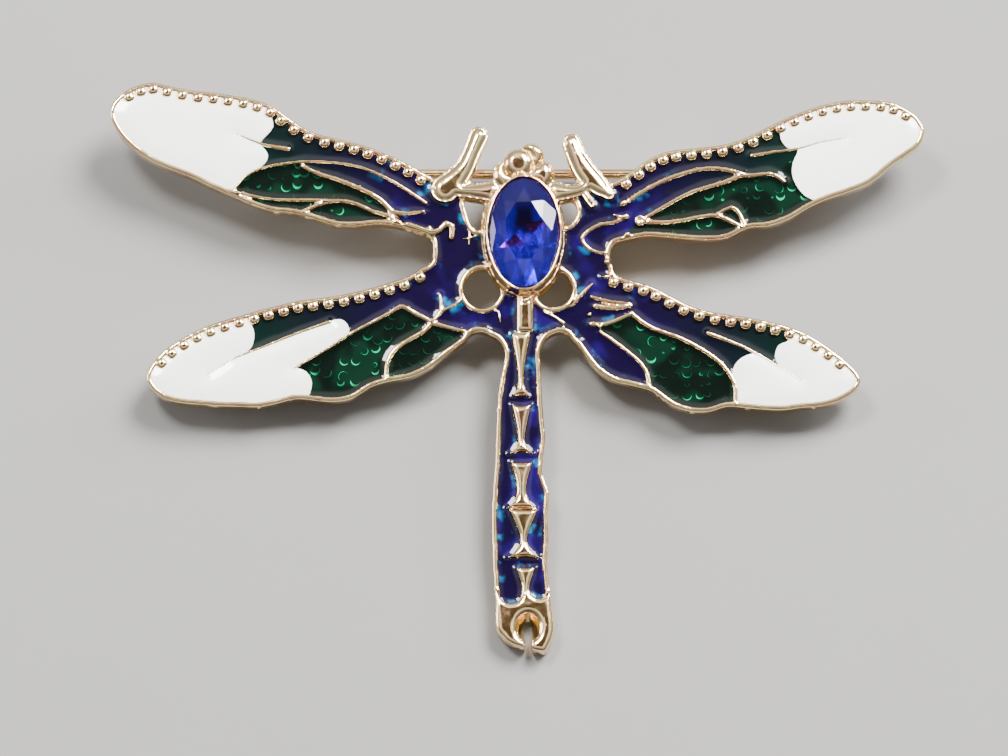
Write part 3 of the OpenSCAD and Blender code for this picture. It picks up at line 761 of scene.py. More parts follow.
def inside(points: np.ndarray, loops: list[np.ndarray]) -> np.ndarray:
    """Which points lie inside a patch with holes.

    Args:
        points: places on the face.
        loops: outer and inner outlines of the patch.

    Returns:
        True for each point inside.
    """
    within = np.zeros(len(points), bool)
    for loop in loops:
        for a, b in zip(loop, np.roll(loop, -1, axis=0)):
            crosses = (a[1] > points[:, 1]) != (b[1] > points[:, 1])
            if crosses.any():
                at = a[0] + (points[:, 1] - a[1]) / (b[1] - a[1] + TINY) * (b[0] - a[0])
                within ^= crosses & (points[:, 0] < at)
    return within


def ball(middle: np.ndarray, radius: float, sides: int, power: float = 2.0, turn: float = 0.0) -> MeshData:
    """Closed ball, squarer as its power rises above 2.

    Args:
        middle: its middle.
        radius: its radius.
        sides: sides of its waist.
        power: power of its rounding.
        turn: angle that it is turned by.

    Returns:
        The corners and the faces.
    """
    rings = sides // 2
    around = 2 * np.pi * np.arange(sides) / sides
    corners = [(0.0, 0.0, 1.0)]
    for k in range(1, rings):
        lean = math.pi * k / rings
        wide, high = math.sin(lean), math.cos(lean)
        corners.extend((wide * math.cos(t), wide * math.sin(t), high) for t in around)
    corners.append((0.0, 0.0, -1.0))
    unit = np.array(corners)
    unit /= (np.abs(unit) ** power).sum(axis=1, keepdims=True) ** (1 / power)
    spin = np.array([[math.cos(turn), -math.sin(turn), 0], [math.sin(turn), math.cos(turn), 0], [0, 0, 1]])
    last = len(corners) - 1
    faces = [(0, 1 + i, 1 + (i + 1) % sides) for i in range(sides)]
    for k in range(rings - 2):
        start = 1 + k * sides
        for i in range(sides):
            j = (i + 1) % sides
            faces.append((start + i, start + sides + i, start + sides + j, start + j))
    start = 1 + (rings - 2) * sides
    faces.extend((last, start + (i + 1) % sides, start + i) for i in range(sides))
    return middle + unit @ spin.T * radius, faces


def joined(parts: list[MeshData]) -> MeshData:
    """Several meshes as one.

    Args:
        parts: corners and faces of each mesh.

    Returns:
        One list of corners and one of faces.
    """
    corners, faces, start = [], [], 0
    for some, ring in parts:
        corners.append(some)
        faces.extend(tuple(i + start for i in face) for face in ring)
        start += len(some)
    return np.concatenate(corners), faces


def tree_of(points: np.ndarray) -> KDTree:
    """Search tree of points.

    Args:
        points: the points.

    Returns:
        The tree, which finds the nearest of them.
    """
    tree = KDTree(len(points))
    for i, point in enumerate(points):
        tree.insert(Vector(point), i)
    tree.balance()
    return tree


def flattened(points: np.ndarray) -> np.ndarray:
    """Points as they lie on the face, at height 0."""
    return np.column_stack([points[:, :2], np.zeros(len(points))])


def distance_to(tree: KDTree, point: np.ndarray) -> float:
    """Distance on the face from a point to the nearest one of a flattened tree."""
    return tree.find(Vector((point[0], point[1], 0.0)))[2]


@dataclass(frozen=True)
class DropFinder:
    """Finds the edges where a flat top drops away."""

    low: float
    step: float = 0.04
    level_above: float = 0.9
    steep_below: float = 0.5
    least_drop: float = 0.02

    def points(self, corners: np.ndarray, triangles: np.ndarray) -> np.ndarray:
        """Points along those edges.

        Args:
            corners: corners of a mesh on the face.
            triangles: its triangles.

        Returns:
            The points.
        """
        a, b, c = (corners[triangles[:, k]] for k in range(3))
        normals = np.cross(b - a, c - a)
        rise = normals[:, 2] / np.maximum(np.linalg.norm(normals, axis=1), TINY)
        beside = {}
        for i, j, k in triangles[rise < self.steep_below].tolist():
            beside.update({(i, j): k, (j, k): i, (k, i): j})
        points = []
        high = (corners[triangles][:, :, 2] > self.low).all(axis=1)
        for i, j, k in triangles[(rise > self.level_above) & high].tolist():
            for start, end in ((i, j), (j, k), (k, i)):
                other = beside.get((end, start))
                if other is not None and corners[other, 2] < corners[start, 2] - self.least_drop:
                    points.extend(steps_along(corners[start], corners[end], self.step))
        return np.array(points)


def in_scene(name: str, data: bpy.types.ID) -> bpy.types.Object:
    """New object in the scene.

    Args:
        name: its name.
        data: its mesh, lamp or camera.

    Returns:
        The object.
    """
    made = bpy.data.objects.new(name, data)
    bpy.context.scene.collection.objects.link(made)
    return made


def mesh_of(name: str, corners: np.ndarray, faces: list) -> bpy.types.Mesh:
    """New mesh.

    Args:
        name: its name.
        corners: its corners.
        faces: its faces.

    Returns:
        The mesh.
    """
    mesh = bpy.data.meshes.new(name)
    mesh.from_pydata(corners.tolist(), [], faces)
    return mesh


def new_piece(name: str, data: MeshData, slot: Slot, *materials: bpy.types.Material) -> bpy.types.Object:
    """Smooth-shaded piece that rides with the brooch.

    Args:
        name: name of the piece.
        data: its corners in the part's frame, in metres, and its faces.
        slot: not used.
        materials: its materials, in order.

    Returns:
        The piece.
    """
    mesh = mesh_of(name, *data)
    mesh.update()
    mesh.polygons.foreach_set("use_smooth", [True] * len(mesh.polygons))
    piece = in_scene(name, mesh)
    for material in materials:
        mesh.materials.append(material)
    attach(piece, BODY)
    return piece


def store(piece: bpy.types.Object, name: str, values: np.ndarray) -> None:
    """Stores one number for each corner of a piece."""
    layer = piece.data.attributes.new(name, "FLOAT", "POINT")
    layer.data.foreach_set("value", values.astype(np.float32))


def applied(piece: bpy.types.Object) -> bpy.types.Mesh:
    """Mesh of a piece with its modifiers applied."""
    graph = bpy.context.evaluated_depsgraph_get()
    return bpy.data.meshes.new_from_object(piece.evaluated_get(graph))


@dataclass(frozen=True)
class Trim:
    """Small raised line or knob of the casting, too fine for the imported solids.

    Its places and its height off the plate's back are on the face, in mm.
    """

    radius: float
    places: tuple[Place, ...]
    height: float = 1.58
    sides: ClassVar[int] = 10
    spacing: ClassVar[float] = 0.45

    def mesh(self) -> MeshData:
        """Chain of small balls along the line, close enough to fuse.

        Returns:
            The corners and the faces.
        """
        line = np.array(self.places, float)
        stops = [line[0]]
        for a, b in zip(line, line[1:]):
            count = max(1, math.ceil(float(np.linalg.norm(b - a)) / (self.radius * self.spacing)))
            stops.extend(a + (b - a) * k / count for k in range(1, count + 1))
        return joined([ball(np.array([p[0], p[1], self.height]), self.radius, self.sides) for p in stops])


TRIMS = (
    # Bent line behind the left forewing's root, with its short spur.
    Trim(0.27, ((-9.62, 0.80), (-8.52, 0.46), (-7.51, 0.06), (-6.83, 0.34), (-6.33, 0.93), (-5.80, 0.66),
                (-5.84, -0.30))),
    Trim(0.22, ((-7.60, 0.30), (-7.72, 0.55))),
    # Small cross left of the stone.
    Trim(0.10, ((-4.55, 0.80), (-4.35, 0.10), (-4.38, -0.95)), 1.50),
    Trim(0.09, ((-4.85, -0.42), (-3.75, -0.20)), 1.50),
    # Knobs, short line and ring at the right forewing's root.
    Trim(0.31, ((8.71, 2.67),)),
    Trim(0.31, ((8.86, 1.49),)),
    Trim(0.12, ((8.60, 1.52), (7.84, 1.64))),
    Trim(0.17, ((10.07, 1.52), (10.38, 1.30), (10.33, 0.93), (10.02, 0.80), (9.74, 0.98), (9.75, 1.36),
                (10.07, 1.52))),
    Trim(0.26, ((8.98, -0.05),)),
    Trim(0.26, ((7.22, -2.46),)),
    # Two bars below the right antenna's foot.
    Trim(0.18, ((5.36, 3.62), (5.87, 2.41))),
    Trim(0.20, ((6.55, 3.79), (7.34, 3.22))),
    # Lines, link and knobs between the thorax and the tail.
    Trim(0.12, ((-2.87, -6.80), (-2.45, -6.55), (-1.86, -6.70), (-1.74, -7.60)), 1.50),
    Trim(0.16, ((2.02, -6.77), (2.87, -7.20), (3.60, -7.72)), 1.50),
    Trim(0.62, ((0.33, -5.75),), 1.62),
    Trim(0.22, ((5.79, -6.98),)),
    Trim(0.20, ((6.66, -8.02),)),
)


@dataclass(frozen=True)
class Dome:
    """Rounding of a raised part: how far it reaches from the edge, and how deep it falls there."""

    reach: float
    depth: float

    def drop(self, distance: float) -> float:
        """Height to take off a top.

        Args:
            distance: distance to the nearest edge.

        Returns:
            The height.
        """
        share = 1.0 - min(distance / self.reach, 1.0)
        return self.depth * (1.0 - math.sqrt(1.0 - share * share))


@dataclass(frozen=True)
class TipCup:
    """Sloping inner wall of the tail tip's oval opening, open towards the slit.

    Heights are off the back of the plate.
    """

    middle: Place = (0.55, -33.83)
    rim_half: Place = (1.07, 1.33)
    foot_half: Place = (0.34, 0.80)
    foot_set_back: float = 0.12
    bulge: float = 0.1
    start: float = -72.0
    sweep: float = 324.0
    rim_height: float = 1.86
    bulge_height: float = 1.25
    foot_height: float = 0.3
    steps: int = 28

    def mesh(self) -> MeshData:
        """Wall of the opening, as a closed strip.

        Returns:
            The corners and the faces.
        """
        corners, faces = [], []
        u, v = self.middle
        for k in range(self.steps + 1):
            angle = math.radians(self.start + self.sweep * k / self.steps)
            c, d = math.cos(angle), math.sin(angle)
            rim = (u + self.rim_half[0] * c, v + self.rim_half[1] * d)
            foot = (u + self.foot_half[0] * c, v - self.foot_set_back + self.foot_half[1] * d)
            belly = ((rim[0] + foot[0]) / 2 + self.bulge * c, (rim[1] + foot[1]) / 2 + self.bulge * d)
            corners.extend([(*rim, self.rim_height), (*belly, self.bulge_height),
                            (*foot, self.foot_height), (*rim, self.foot_height)])
        for k in range(self.steps):
            a = 4 * k
            for i in range(4):
                j = (i + 1) % 4
                faces.append((a + i, a + 4 + i, a + 4 + j, a + j))
        end = 4 * self.steps
        faces.extend([(0, 1, 2, 3), (end + 3, end + 2, end + 1, end)])
        return np.array(corners), faces


@dataclass
class BeadRows:
    """Squarish beads along the wings' front rims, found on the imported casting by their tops."""

    corners: np.ndarray
    low: float
    high: float = 1.74
    radius: float = 0.48
    middle: float = 1.36
    sides: int = 24
    power: float = 2.8
    gap: float = 0.5
    least_corners: int = 8
    spread: Span = (0.3, 0.8)

    def places(self) -> list[np.ndarray]:
        """Middles of the beads: small groups of corners just above the rims.

        Returns:
            One place on the face for each bead.
        """
        heights = self.corners[:, 2]
        flat = flattened(self.corners[(heights > self.low) & (heights < self.high)])
        tree = tree_of(flat)
        free = np.ones(len(flat), bool)
        places = []
        for i in range(len(flat)):
            if not free[i]:
                continue
            group, wait = [i], [i]
            free[i] = False
            while wait:
                for _, j, _ in tree.find_range(Vector(flat[wait.pop()]), self.gap):
                    if free[j]:
                        free[j] = False
                        group.append(j)
                        wait.append(j)
            low, high = flat[group].min(axis=0), flat[group].max(axis=0)
            least, most = (high - low)[:2].min(), (high - low)[:2].max()
            if len(group) > self.least_corners and self.spread[0] < least and most < self.spread[1]:
                places.append((low + high) / 2)
        return places

    def meshes(self) -> list[MeshData]:
        """Beads, each turned along its row.

        Returns:
            The corners and the faces of each bead.
        """
        places = self.places()
        parts = []
        for place in places:
            others = sorted(places, key=lambda q: float(np.linalg.norm(q - place)))
            along = others[1] - place
            turn = math.atan2(along[1], along[0])
            middle = np.array([place[0], place[1], self.middle])
            parts.append(ball(middle, self.radius, self.sides, self.power, turn))
        LOG.info("beads: %d", len(parts))
        return parts


@dataclass
class CastMetal:
    """Cast plate with rims, veins, beads, head, antennae, spine and tail tip, rounded as it is cast."""

    node: bpy.types.Object
    face: FaceFrame
    finish: GoldPlating
    plate_t: float = 1.6
    voxel: float = 0.1
    rounds: int = 5
    round_factor: float = 0.5
    most_faces: int = 155000
    edge_margin: float = 0.15
    rim_margin: float = 0.12
    bead_margin: float = 0.02
    raised_from: float = 1.78
    raised_split: float = 2.05
    raised_to: float = 2.72
    rim_dome: Dome = Dome(0.24, 0.13)
    low_dome: Dome = Dome(0.5, 0.24)
    high_dome: Dome = Dome(0.85, 0.66)
    most_drop: float = 0.8
    corners: np.ndarray = field(init=False)
    triangles: np.ndarray = field(init=False)
    drops: np.ndarray = field(init=False)
    edges: KDTree = field(init=False)

    def __post_init__(self) -> None:
        """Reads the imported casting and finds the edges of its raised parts."""
        self.corners, self.triangles = welded(self.node, self.face)
        self.drops = DropFinder(self.plate_t - self.edge_margin).points(self.corners, self.triangles)
        self.edges = tree_of(flattened(self.drops))

    def domed(self, corners: np.ndarray) -> np.ndarray:
        """Corners with the tops of the raised parts rounded towards their sides.

        Args:
            corners: corners of the fine mesh on the face.

        Returns:
            The moved corners.
        """
        out = corners.copy()
        heights = corners[:, 2]
        rims = (heights > self.plate_t - self.rim_margin) & (heights < self.plate_t + self.bead_margin)
        low = (heights > self.raised_from) & (heights <= self.raised_split)
        high = (heights > self.raised_split) & (heights < self.raised_to)
        raised = tree_of(flattened(self.drops[self.drops[:, 2] > self.raised_from]))
        tasks = (
            (rims, self.edges, self.rim_dome),
            (low, raised, self.low_dome),
            (high, raised, self.high_dome),
        )
        for chosen, tree, dome in tasks:
            for i in np.nonzero(chosen)[0]:
                drop = dome.drop(distance_to(tree, corners[i]))
                if heights[i] > self.raised_from:
                    drop = min(drop, (heights[i] - self.raised_from) * self.most_drop)
                out[i, 2] -= drop
        return out

    def fused(self) -> bpy.types.Mesh:
        """Fine mesh on the face of the casting, the tip's cup and the trims, melted into one.

        Returns:
            The mesh, in mm.
        """
        parts = [(self.corners, self.triangles.tolist()), TipCup().mesh()]
        parts.extend(trim.mesh() for trim in TRIMS)
        rough = in_scene("cast_source", mesh_of("cast_source", *joined(parts)))
        remesh = rough.modifiers.new("fuse", "REMESH")
        remesh.mode = "VOXEL"
        remesh.voxel_size = self.voxel
        smooth = rough.modifiers.new("round", "SMOOTH")
        smooth.factor = self.round_factor
        smooth.iterations = self.rounds
        fine = applied(rough)
        bpy.data.objects.remove(rough)
        return fine

    def thinned(self, fine: bpy.types.Mesh) -> MeshData:
        """Mesh with fewer faces where it is flat.

        Args:
            fine: the fine mesh.

        Returns:
            The corners and the faces.
        """
        holder = in_scene("cast_thin", fine)
        thin = holder.modifiers.new("thin", "DECIMATE")
        thin.ratio = min(1.0, self.most_faces / (2 * len(fine.polygons)))
        plain = applied(holder)
        bpy.data.objects.remove(holder)
        return coordinates(plain), [tuple(p.vertices) for p in plain.polygons]

    def build(self) -> bpy.types.Object:
        """Remeshes the casting finely, rounds it, sets its beads and dresses it.

        Returns:
            The piece.
        """
        fine = self.fused()
        corners = self.domed(coordinates(fine))
        fine.vertices.foreach_set("co", self.face.to_part(corners).reshape(-1))
        fine.update()
        plain = self.thinned(fine)
        bead_corners, bead_faces = joined(BeadRows(self.corners, self.plate_t + self.bead_margin).meshes())
        whole = joined([plain, (self.face.to_part(bead_corners), bead_faces)])
        piece = new_piece("cast_metal", whole, Slot.GOLD, self.finish.material("pale_gold"))
        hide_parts("casting")
        LOG.info("cast_metal: %d faces", len(piece.data.polygons))
        return piece


@dataclass
class EnamelFill:
    """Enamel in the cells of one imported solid: a skin that clings to the walls and lies level between.

    The cling is a height at the wall, and it fades over its reach. The ripple is a slow wave.
    """

    name: str
    node: bpy.types.Object
    face: FaceFrame
    walls: KDTree
    material: bpy.types.Material
    slot: Slot
    level: float = 1.37
    cling: float = 0.12
    cling_reach: float = 0.16
    ripple: float = 0.012
    ripple_reach: float = 0.5
    ripple_u: float = 1.7
    ripple_v: float = 1.9
    ripple_bend: float = 0.6
    ripple_bend_v: float = 1.3
    ripple_shift: float = 0.4
    overlap: float = 0.115
    outline_step: float = 0.14
    top_margin: float = 0.01
    lattice: float = 0.17
    ring_steps: tuple[float, ...] = (0.10, 0.17, 0.25, 0.35)
    ring_clear: float = 0.85
    lattice_clear: float = 0.6
    rim_clear: float = 0.8
    join: float = 1e-5
    sharp_angle: float = 60.0

    def heights(self, flat: np.ndarray, walls: np.ndarray) -> np.ndarray:
        """Height of the skin.

        Args:
            flat: places on the face.
            walls: distance of each to the nearest metal.

        Returns:
            The heights off the back of the plate.
        """
        u, v = flat[:, 0], flat[:, 1]
        bent = u * self.ripple_u + self.ripple_bend * np.sin(v * self.ripple_bend_v)
        wave = np.sin(bent) * np.cos(v * self.ripple_v + self.ripple_shift)
        calm = np.minimum(walls / self.ripple_reach, 1.0)
        return self.level + self.cling * np.exp(-walls / self.cling_reach) + self.ripple * wave * calm

    @staticmethod
    def clear_of(points: np.ndarray, others: np.ndarray, gap: float) -> np.ndarray:
        """Those of some points that keep a gap to other points.

        Args:
            points: the points.
            others: the points to stay clear of.
            gap: the gap.

        Returns:
            The points that are left.
        """
        if not len(points) or not len(others):
            return points
        tree = tree_of(flattened(others))
        return points[np.array([distance_to(tree, p) > gap for p in points])]

    def inner_points(self, loops: list[np.ndarray]) -> np.ndarray:
        """Points inside a patch: rings along its outlines and an even lattice between.

        Args:
            loops: outlines of the patch on the face.

        Returns:
            The points.
        """
        rim = np.concatenate(loops)
        low, high = rim.min(axis=0), rim.max(axis=0)
        rows = np.arange(low[1], high[1], self.lattice * math.sqrt(0.75))
        columns = np.arange(low[0], high[0] + self.lattice, self.lattice)
        u, v = np.meshgrid(columns, rows)
        u[1::2] += self.lattice / 2
        grid = np.column_stack([u.ravel(), v.ravel()])
        grid = grid[inside(grid, loops)]
        for step in self.ring_steps:
            ring = np.concatenate([grown_loop(loop, -step) for loop in loops])
            ring = self.clear_of(ring[inside(ring, loops)], rim, step * self.ring_clear)
            grid = np.concatenate([ring, self.clear_of(grid, ring, self.lattice * self.lattice_clear)])
        return self.clear_of(grid, rim, self.ring_steps[0] * self.rim_clear)

    def skin(self, loops: list[np.ndarray]) -> tuple[np.ndarray, np.ndarray]:
        """Fine triangles that fill a patch.

        Args:
            loops: outlines of the patch on the face.

        Returns:
            The corners and the triangles.
        """
        edges = []
        start = 0
        for loop in loops:
            edges.extend((start + k, start + (k + 1) % len(loop)) for k in range(len(loop)))
            start += len(loop)
        points = [Vector(p) for p in np.concatenate([*loops, self.inner_points(loops)])]
        made = delaunay_2d_cdt(points, edges, [], 0, self.join)
        corners = np.array([tuple(p) for p in made[0]])
        triangles = np.array([f for f in made[2] if len(f) == 3])
        middles = corners[triangles].mean(axis=1)
        return corners, triangles[inside(middles, loops)]

    def outlines(self, corners: np.ndarray, triangles: np.ndarray) -> list[np.ndarray]:
        """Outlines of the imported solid's top, grown a little into the metal.

        Args:
            corners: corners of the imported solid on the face.
            triangles: its triangles.

        Returns:
            The outlines.
        """
        high = corners[:, 2] > corners[:, 2].max() - self.top_margin
        loops = outline_loops(triangles[high[triangles].all(axis=1)])
        finer = [split_loop(corners[loop][:, :2], self.outline_step) for loop in loops]
        return [grown_loop(loop, self.overlap) for loop in finer]

    def build(self) -> bpy.types.Object:
        """Builds the skin with its sides and underside, and stores what the finish reads.

        Returns:
            The piece.
        """
        corners, triangles = welded(self.node, self.face)
        flat, faces = self.skin(self.outlines(corners, triangles))
        walls = np.array([distance_to(self.walls, p) for p in flat])
        count = len(flat)
        crown = np.column_stack([flat, self.heights(flat, walls)])
        base = np.column_stack([flat, np.full(count, corners[:, 2].min())])
        sides = []
        for loop in outline_loops(faces):
            for a, b in zip(loop, loop[1:] + loop[:1]):
                sides.append((b, a, a + count, b + count))
        lower = (faces[:, ::-1] + count).tolist()
        whole = (self.face.to_part(np.concatenate([crown, base])), faces.tolist() + lower + sides)
        piece = new_piece(self.name, whole, self.slot, self.material)
        store(piece, "wall", np.concatenate([walls, walls]))
        span = np.abs(flat[:, 0]) / self.face.wing_reach
        store(piece, "span", np.concatenate([span, span]))
        piece.data.set_sharp_from_angle(angle=math.radians(self.sharp_angle))
        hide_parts(self.node.name)
        LOG.info("%s: %d faces", self.name, len(piece.data.polygons))
        return piece


@dataclass
class WhiteFill(EnamelFill):
    """White enamel of a wing tip, poured full so that it domes between the rims."""

    level: float = 1.50
    dome: float = 0.17
    dome_reach: float = 0.55

    def heights(self, flat: np.ndarray, walls: np.ndarray) -> np.ndarray:
        """Height of the dome.

        Args:
            flat: places on the face.
            walls: distance of each to the nearest metal.

        Returns:
            The heights off the back of the plate.
        """
        return self.level + self.dome * (1.0 - np.exp(-walls / self.dome_reach))


@dataclass
class TailFill(EnamelFill):
    """Enamel of the tail, a hair lower, so that it doesn't share a plane with the thorax's."""

    level: float = 1.366


@dataclass
class CentreStone:
    """Oval stone with a table, stars, kites, girdle facets and a foiled pavilion.

    Shares are of the stone's half width and half length, or of its height.
    """

    node: bpy.types.Object
    face: FaceFrame
    glass: StoneGlass
    foil: StoneFoil
    sides: int = 8
    table_share: float = 0.56
    star_share: float = 0.80
    star_rise: float = 0.58
    girdle_share: float = 0.18
    crown_share: float = 0.4231
    belly_share: float = 0.62
    belly_drop: float = 0.52
    # Share of painted shade on the belly corners beside the keel.
    belly_painted_shade: float = 0.45

    def rings(self) -> list[np.ndarray]:
        """Rings of corners from the table down to the keel.

        Returns:
            Table, stars, upper girdle, lower girdle, mid pavilion and keel.
        """
        corners, _ = welded(self.node, self.face)
        low, high = corners.min(axis=0), corners.max(axis=0)
        middle, half = (low + high) / 2, (high - low) / 2
        crown = (high[2] - low[2]) * self.crown_share
        rim_top = high[2] - crown * (1 - self.girdle_share)
        rim_low = high[2] - crown
        star = rim_top + (high[2] - rim_top) * self.star_rise
        belly = rim_low - (rim_low - low[2]) * self.belly_drop
        n = self.sides
        rows = (
            (n, self.table_share, high[2], 0.5),
            (n, self.star_share, star, 0.0),
            (2 * n, 1.0, rim_top, 0.0),
            (2 * n, 1.0, rim_low, 0.0),
            (n, self.belly_share, belly, 0.5),
        )
        rings = []
        for count, share, z, turn in rows:
            angle = 2 * np.pi * (np.arange(count) + turn) / count
            u = middle[0] + half[0] * share * np.cos(angle)
            v = middle[1] + half[1] * share * np.sin(angle)
            rings.append(np.column_stack([u, v, np.full(count, z)]))
        keel_half = (half[1] - half[0]) / 2
        rings.append(np.array([[middle[0], middle[1] + side * keel_half, low[2]] for side in (1, -1)]))
        return rings

    def facets(self, starts: list[int]) -> tuple[list, list]:
        """Facets between the rings.

        Args:
            starts: number of the first corner of each ring.

        Returns:
            The facets of the crown, and those of the girdle and pavilion.
        """
        table, stars, upper, lower, belly, keel = starts
        n = self.sides
        m = 2 * n
        crown = [[table + i for i in range(n)]]
        back = []
        for i in range(n):
            before, after = (i + n - 1) % n, (i + 1) % n
            crown.append([table + before, stars + i, table + i])
            crown.append([table + i, stars + i, upper + 2 * i + 1, stars + after])
            crown.append([stars + i, upper + 2 * i, upper + 2 * i + 1])
            crown.append([stars + i, upper + (2 * i + m - 1) % m, upper + 2 * i])
            back.append([lower + 2 * i, belly + i, lower + 2 * i + 1])
            back.append([lower + 2 * i + 1, belly + i, lower + (2 * i + 2) % m])
            back.append([lower + (2 * i + 2) % m, belly + i, belly + after])
            end = keel + (0 if i < n // 2 else 1)
            back.append([belly + i, end, belly + after])
        back.append([belly + n - 1, keel, keel + 1])
        back.append([belly + n // 2 - 1, keel + 1, keel])
        band = [[upper + i, lower + i, lower + (i + 1) % m, upper + (i + 1) % m] for i in range(m)]
        return crown, band + back

    def build(self) -> bpy.types.Object:
        """Builds the facets, clear above the girdle and foiled below.

        Returns:
            The piece.
        """
        rings = self.rings()
        starts = np.cumsum([0] + [len(r) for r in rings]).tolist()
        crown, back = self.facets(starts[:-1])
        whole = (self.face.to_part(np.concatenate(rings)), crown + back)
        piece = new_piece("faceted_stone", whole, Slot.STONE, self.glass.material("royal_blue_glass"),
                          self.foil.material("blue_foil"))
        for polygon in piece.data.polygons:
            polygon.use_smooth = False
            polygon.material_index = int(polygon.index >= len(crown))
        belly, keel = starts[4:6]
        # Painted shade on the foil: full at the keel's upper end, part on the belly corners beside it.
        painted_shade = np.zeros(starts[-1])
        painted_shade[keel] = 1.0
        painted_shade[[belly + 1, belly + 2]] = self.belly_painted_shade
        store(piece, "painted_shade", painted_shade)
        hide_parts(self.node.name)
        LOG.info("faceted_stone: %d facets", len(piece.data.polygons))
        return piece


@dataclass
class PinBack:
    """Pin on the back: two rounded feet and the stem between them."""

    node: bpy.types.Object
    face: FaceFrame
    finish: GoldPlating
    edge: float = 0.16
    edge_steps: int = 3
    edge_angle: float = 40.0

    def build(self) -> bpy.types.Object:
        """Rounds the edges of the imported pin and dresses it.

        Returns:
            The piece.
        """
        corners, triangles = welded(self.node, self.face)
        whole = (self.face.to_part(corners), triangles.tolist())
        piece = new_piece("pin_back", whole, Slot.PIN, self.finish.material("pin_gold"))
        bevel = piece.modifiers.new("edge", "BEVEL")
        bevel.width = self.edge * MM
        bevel.segments = self.edge_steps
        bevel.limit_method = "ANGLE"
        bevel.angle_limit = math.radians(self.edge_angle)
        piece.data = applied(piece)
        piece.modifiers.clear()
        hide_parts(self.node.name)
        LOG.info("pin_back: %d faces", len(piece.data.polygons))
        return piece


@dataclass(frozen=True)
class Lamp:
    """Soft round lamp that points at the brooch; its place and size are in metres, its power in watts."""

    name: str
    place: tuple[float, float, float]
    size: float
    power: float
    colour: Colour

    def hang(self) -> None:
        """Hangs the lamp."""
        data = bpy.data.lights.new(self.name, "AREA")
        data.shape = "DISK"
        data.size = self.size
        data.energy = self.power
        data.color = self.colour
        lamp = in_scene(self.name, data)
        lamp.location = self.place
        lamp.rotation_euler = Vector(self.place).to_track_quat("Z", "Y").to_euler()


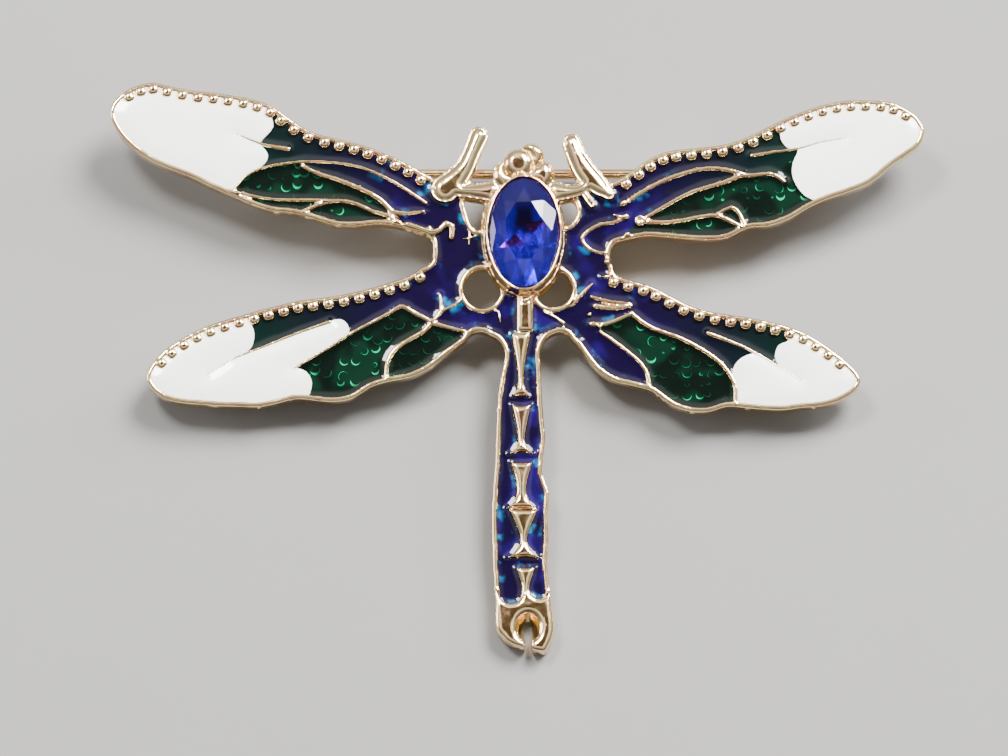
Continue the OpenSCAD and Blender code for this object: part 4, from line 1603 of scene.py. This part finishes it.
@dataclass
class Studio:
    """Pale floor, soft lights and the camera over the brooch.

    The camera's aim, distance and seen width are in mm. The room's stops are its colours by height,
    and its slope makes it brighter behind the head.
    """

    face: FaceFrame
    aim: tuple[float, float, float] = (-1.43, -12.47, 1.6)
    elevation: float = 72.0
    distance: float = 700.0
    seen_width: float = 84.7
    sensor: float = 36.0
    clip: Span = (0.01, 10.0)
    floor_half: float = 0.5
    lamps: tuple[Lamp, ...] = (
        Lamp("window", (0.27, 0.32, 0.535), 0.32, 18.0, (1.0, 0.98, 0.95)),
        Lamp("high_lamp", (-0.20, 0.20, 0.58), 0.16, 5.0, (1.0, 0.98, 0.94)),
        Lamp("left_wall", (-0.60, 0.10, 0.16), 0.34, 2.6, (1.0, 0.98, 0.96)),
        Lamp("right_wall", (0.52, 0.30, 0.27), 0.20, 3.4, (0.98, 0.99, 1.0)),
    )
    room_slope: Span = (0.65, 0.85)
    room_stops: tuple[tuple[float, Colour], ...] = (
        (0.10, (0.32, 0.31, 0.30)),
        (0.60, (0.50, 0.50, 0.50)),
        (0.80, (1.00, 1.00, 0.99)),
        (0.90, (1.75, 1.72, 1.66)),
        (0.945, (1.60, 1.52, 1.42)),
        (0.98, (0.13, 0.09, 0.068)),
    )

    def floor(self) -> None:
        """Lays the floor under the brooch."""
        half = self.floor_half
        corners = np.array([(-half, -half, 0), (half, -half, 0), (half, half, 0), (-half, half, 0)])
        floor = in_scene("floor", mesh_of("floor", corners, [(0, 1, 2, 3)]))
        floor.data.materials.append(PaleFloor().material("pale_floor"))

    def camera(self) -> None:
        """Sets the camera at the angle that the brooch is seen from."""
        aim = Vector(self.face.to_part(np.array([self.aim]))[0])
        angle = math.radians(self.elevation)
        away = Vector((0.0, -math.cos(angle), math.sin(angle)))
        data = bpy.data.cameras.new("camera")
        data.sensor_width = self.sensor
        data.lens = data.sensor_width * self.distance / self.seen_width
        data.clip_start, data.clip_end = self.clip
        camera = in_scene("camera", data)
        camera.location = aim + away * self.distance * MM
        camera.rotation_euler = away.to_track_quat("Z", "Y").to_euler()
        bpy.context.scene.camera = camera

    def room(self) -> None:
        """Makes the room: dim floor level, bright upper walls and a dim warm ceiling."""
        world = bpy.data.worlds.new("room")
        world.use_nodes = True
        tree = world.node_tree
        light = tree.nodes["Background"]
        height = tree.nodes.new("ShaderNodeSeparateXYZ")
        tree.links.new(tree.nodes.new("ShaderNodeTexCoord").outputs["Generated"], height.inputs[0])
        rise = tree.nodes.new("ShaderNodeValToRGB")
        set_stops(rise, list(self.room_stops))
        tree.links.new(height.outputs["Z"], rise.inputs["Fac"])
        tree.links.new(rise.outputs["Color"], light.inputs["Color"])
        slope = tree.nodes.new("ShaderNodeMath")
        slope.operation = "MULTIPLY_ADD"
        tree.links.new(height.outputs["Y"], slope.inputs[0])
        slope.inputs[1].default_value, slope.inputs[2].default_value = self.room_slope
        tree.links.new(slope.outputs[0], light.inputs["Strength"])
        bpy.context.scene.world = world

    def build(self) -> None:
        """Builds the whole studio."""
        self.floor()
        self.camera()
        for lamp in self.lamps:
            lamp.hang()
        self.room()


def enamel_fills(nodes: dict[str, bpy.types.Object], face: FaceFrame, walls: KDTree) -> list[EnamelFill]:
    """All enamel pieces of the brooch.

    Args:
        nodes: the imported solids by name.
        face: the frame of the face.
        walls: search tree of the metal's upper edges.

    Returns:
        The pieces, not built yet.
    """
    dark = DarkEnamel().material("dark_blue_enamel")
    green = GreenEnamel().material("bottle_green_enamel")
    white = WhiteEnamel().material("white_enamel")
    rows = [(TailFill, "tail_strip", "tail_enamel", dark, Slot.BLUE)]
    for side in Side:
        rows.append((EnamelFill, f"{side.value}_body_field", f"{side.value}_blue_enamel", dark, Slot.BLUE))
        for wing in Wing:
            name = f"{side.value}_{wing.value}"
            rows.append((EnamelFill, f"{name}_green_cells", f"{name}_green_enamel", green, Slot.GREEN))
            rows.append((WhiteFill, f"{name}_white_tip", f"{name}_white_enamel", white, Slot.WHITE))
    return [kind(name, nodes[node], face, walls, material, slot) for kind, name, node, material, slot in rows]


def main() -> None:
    """Builds the brooch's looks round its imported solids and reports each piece."""
    logging.basicConfig(level=logging.INFO, format="%(message)s")
    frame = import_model()
    nodes = frame["nodes"]
    face = FaceFrame.of(nodes["casting"])
    gold = GoldPlating()
    cast = CastMetal(nodes["casting"], face, gold)
    cast.build()
    for fill in enamel_fills(nodes, face, cast.edges):
        fill.build()
    CentreStone(nodes["centre_stone"], face, StoneGlass(), StoneFoil()).build()
    PinBack(nodes["brooch_pin"], face, gold).build()
    Studio(face).build()
    bpy.context.view_layer.update()


if __name__ == "__main__":
    main()
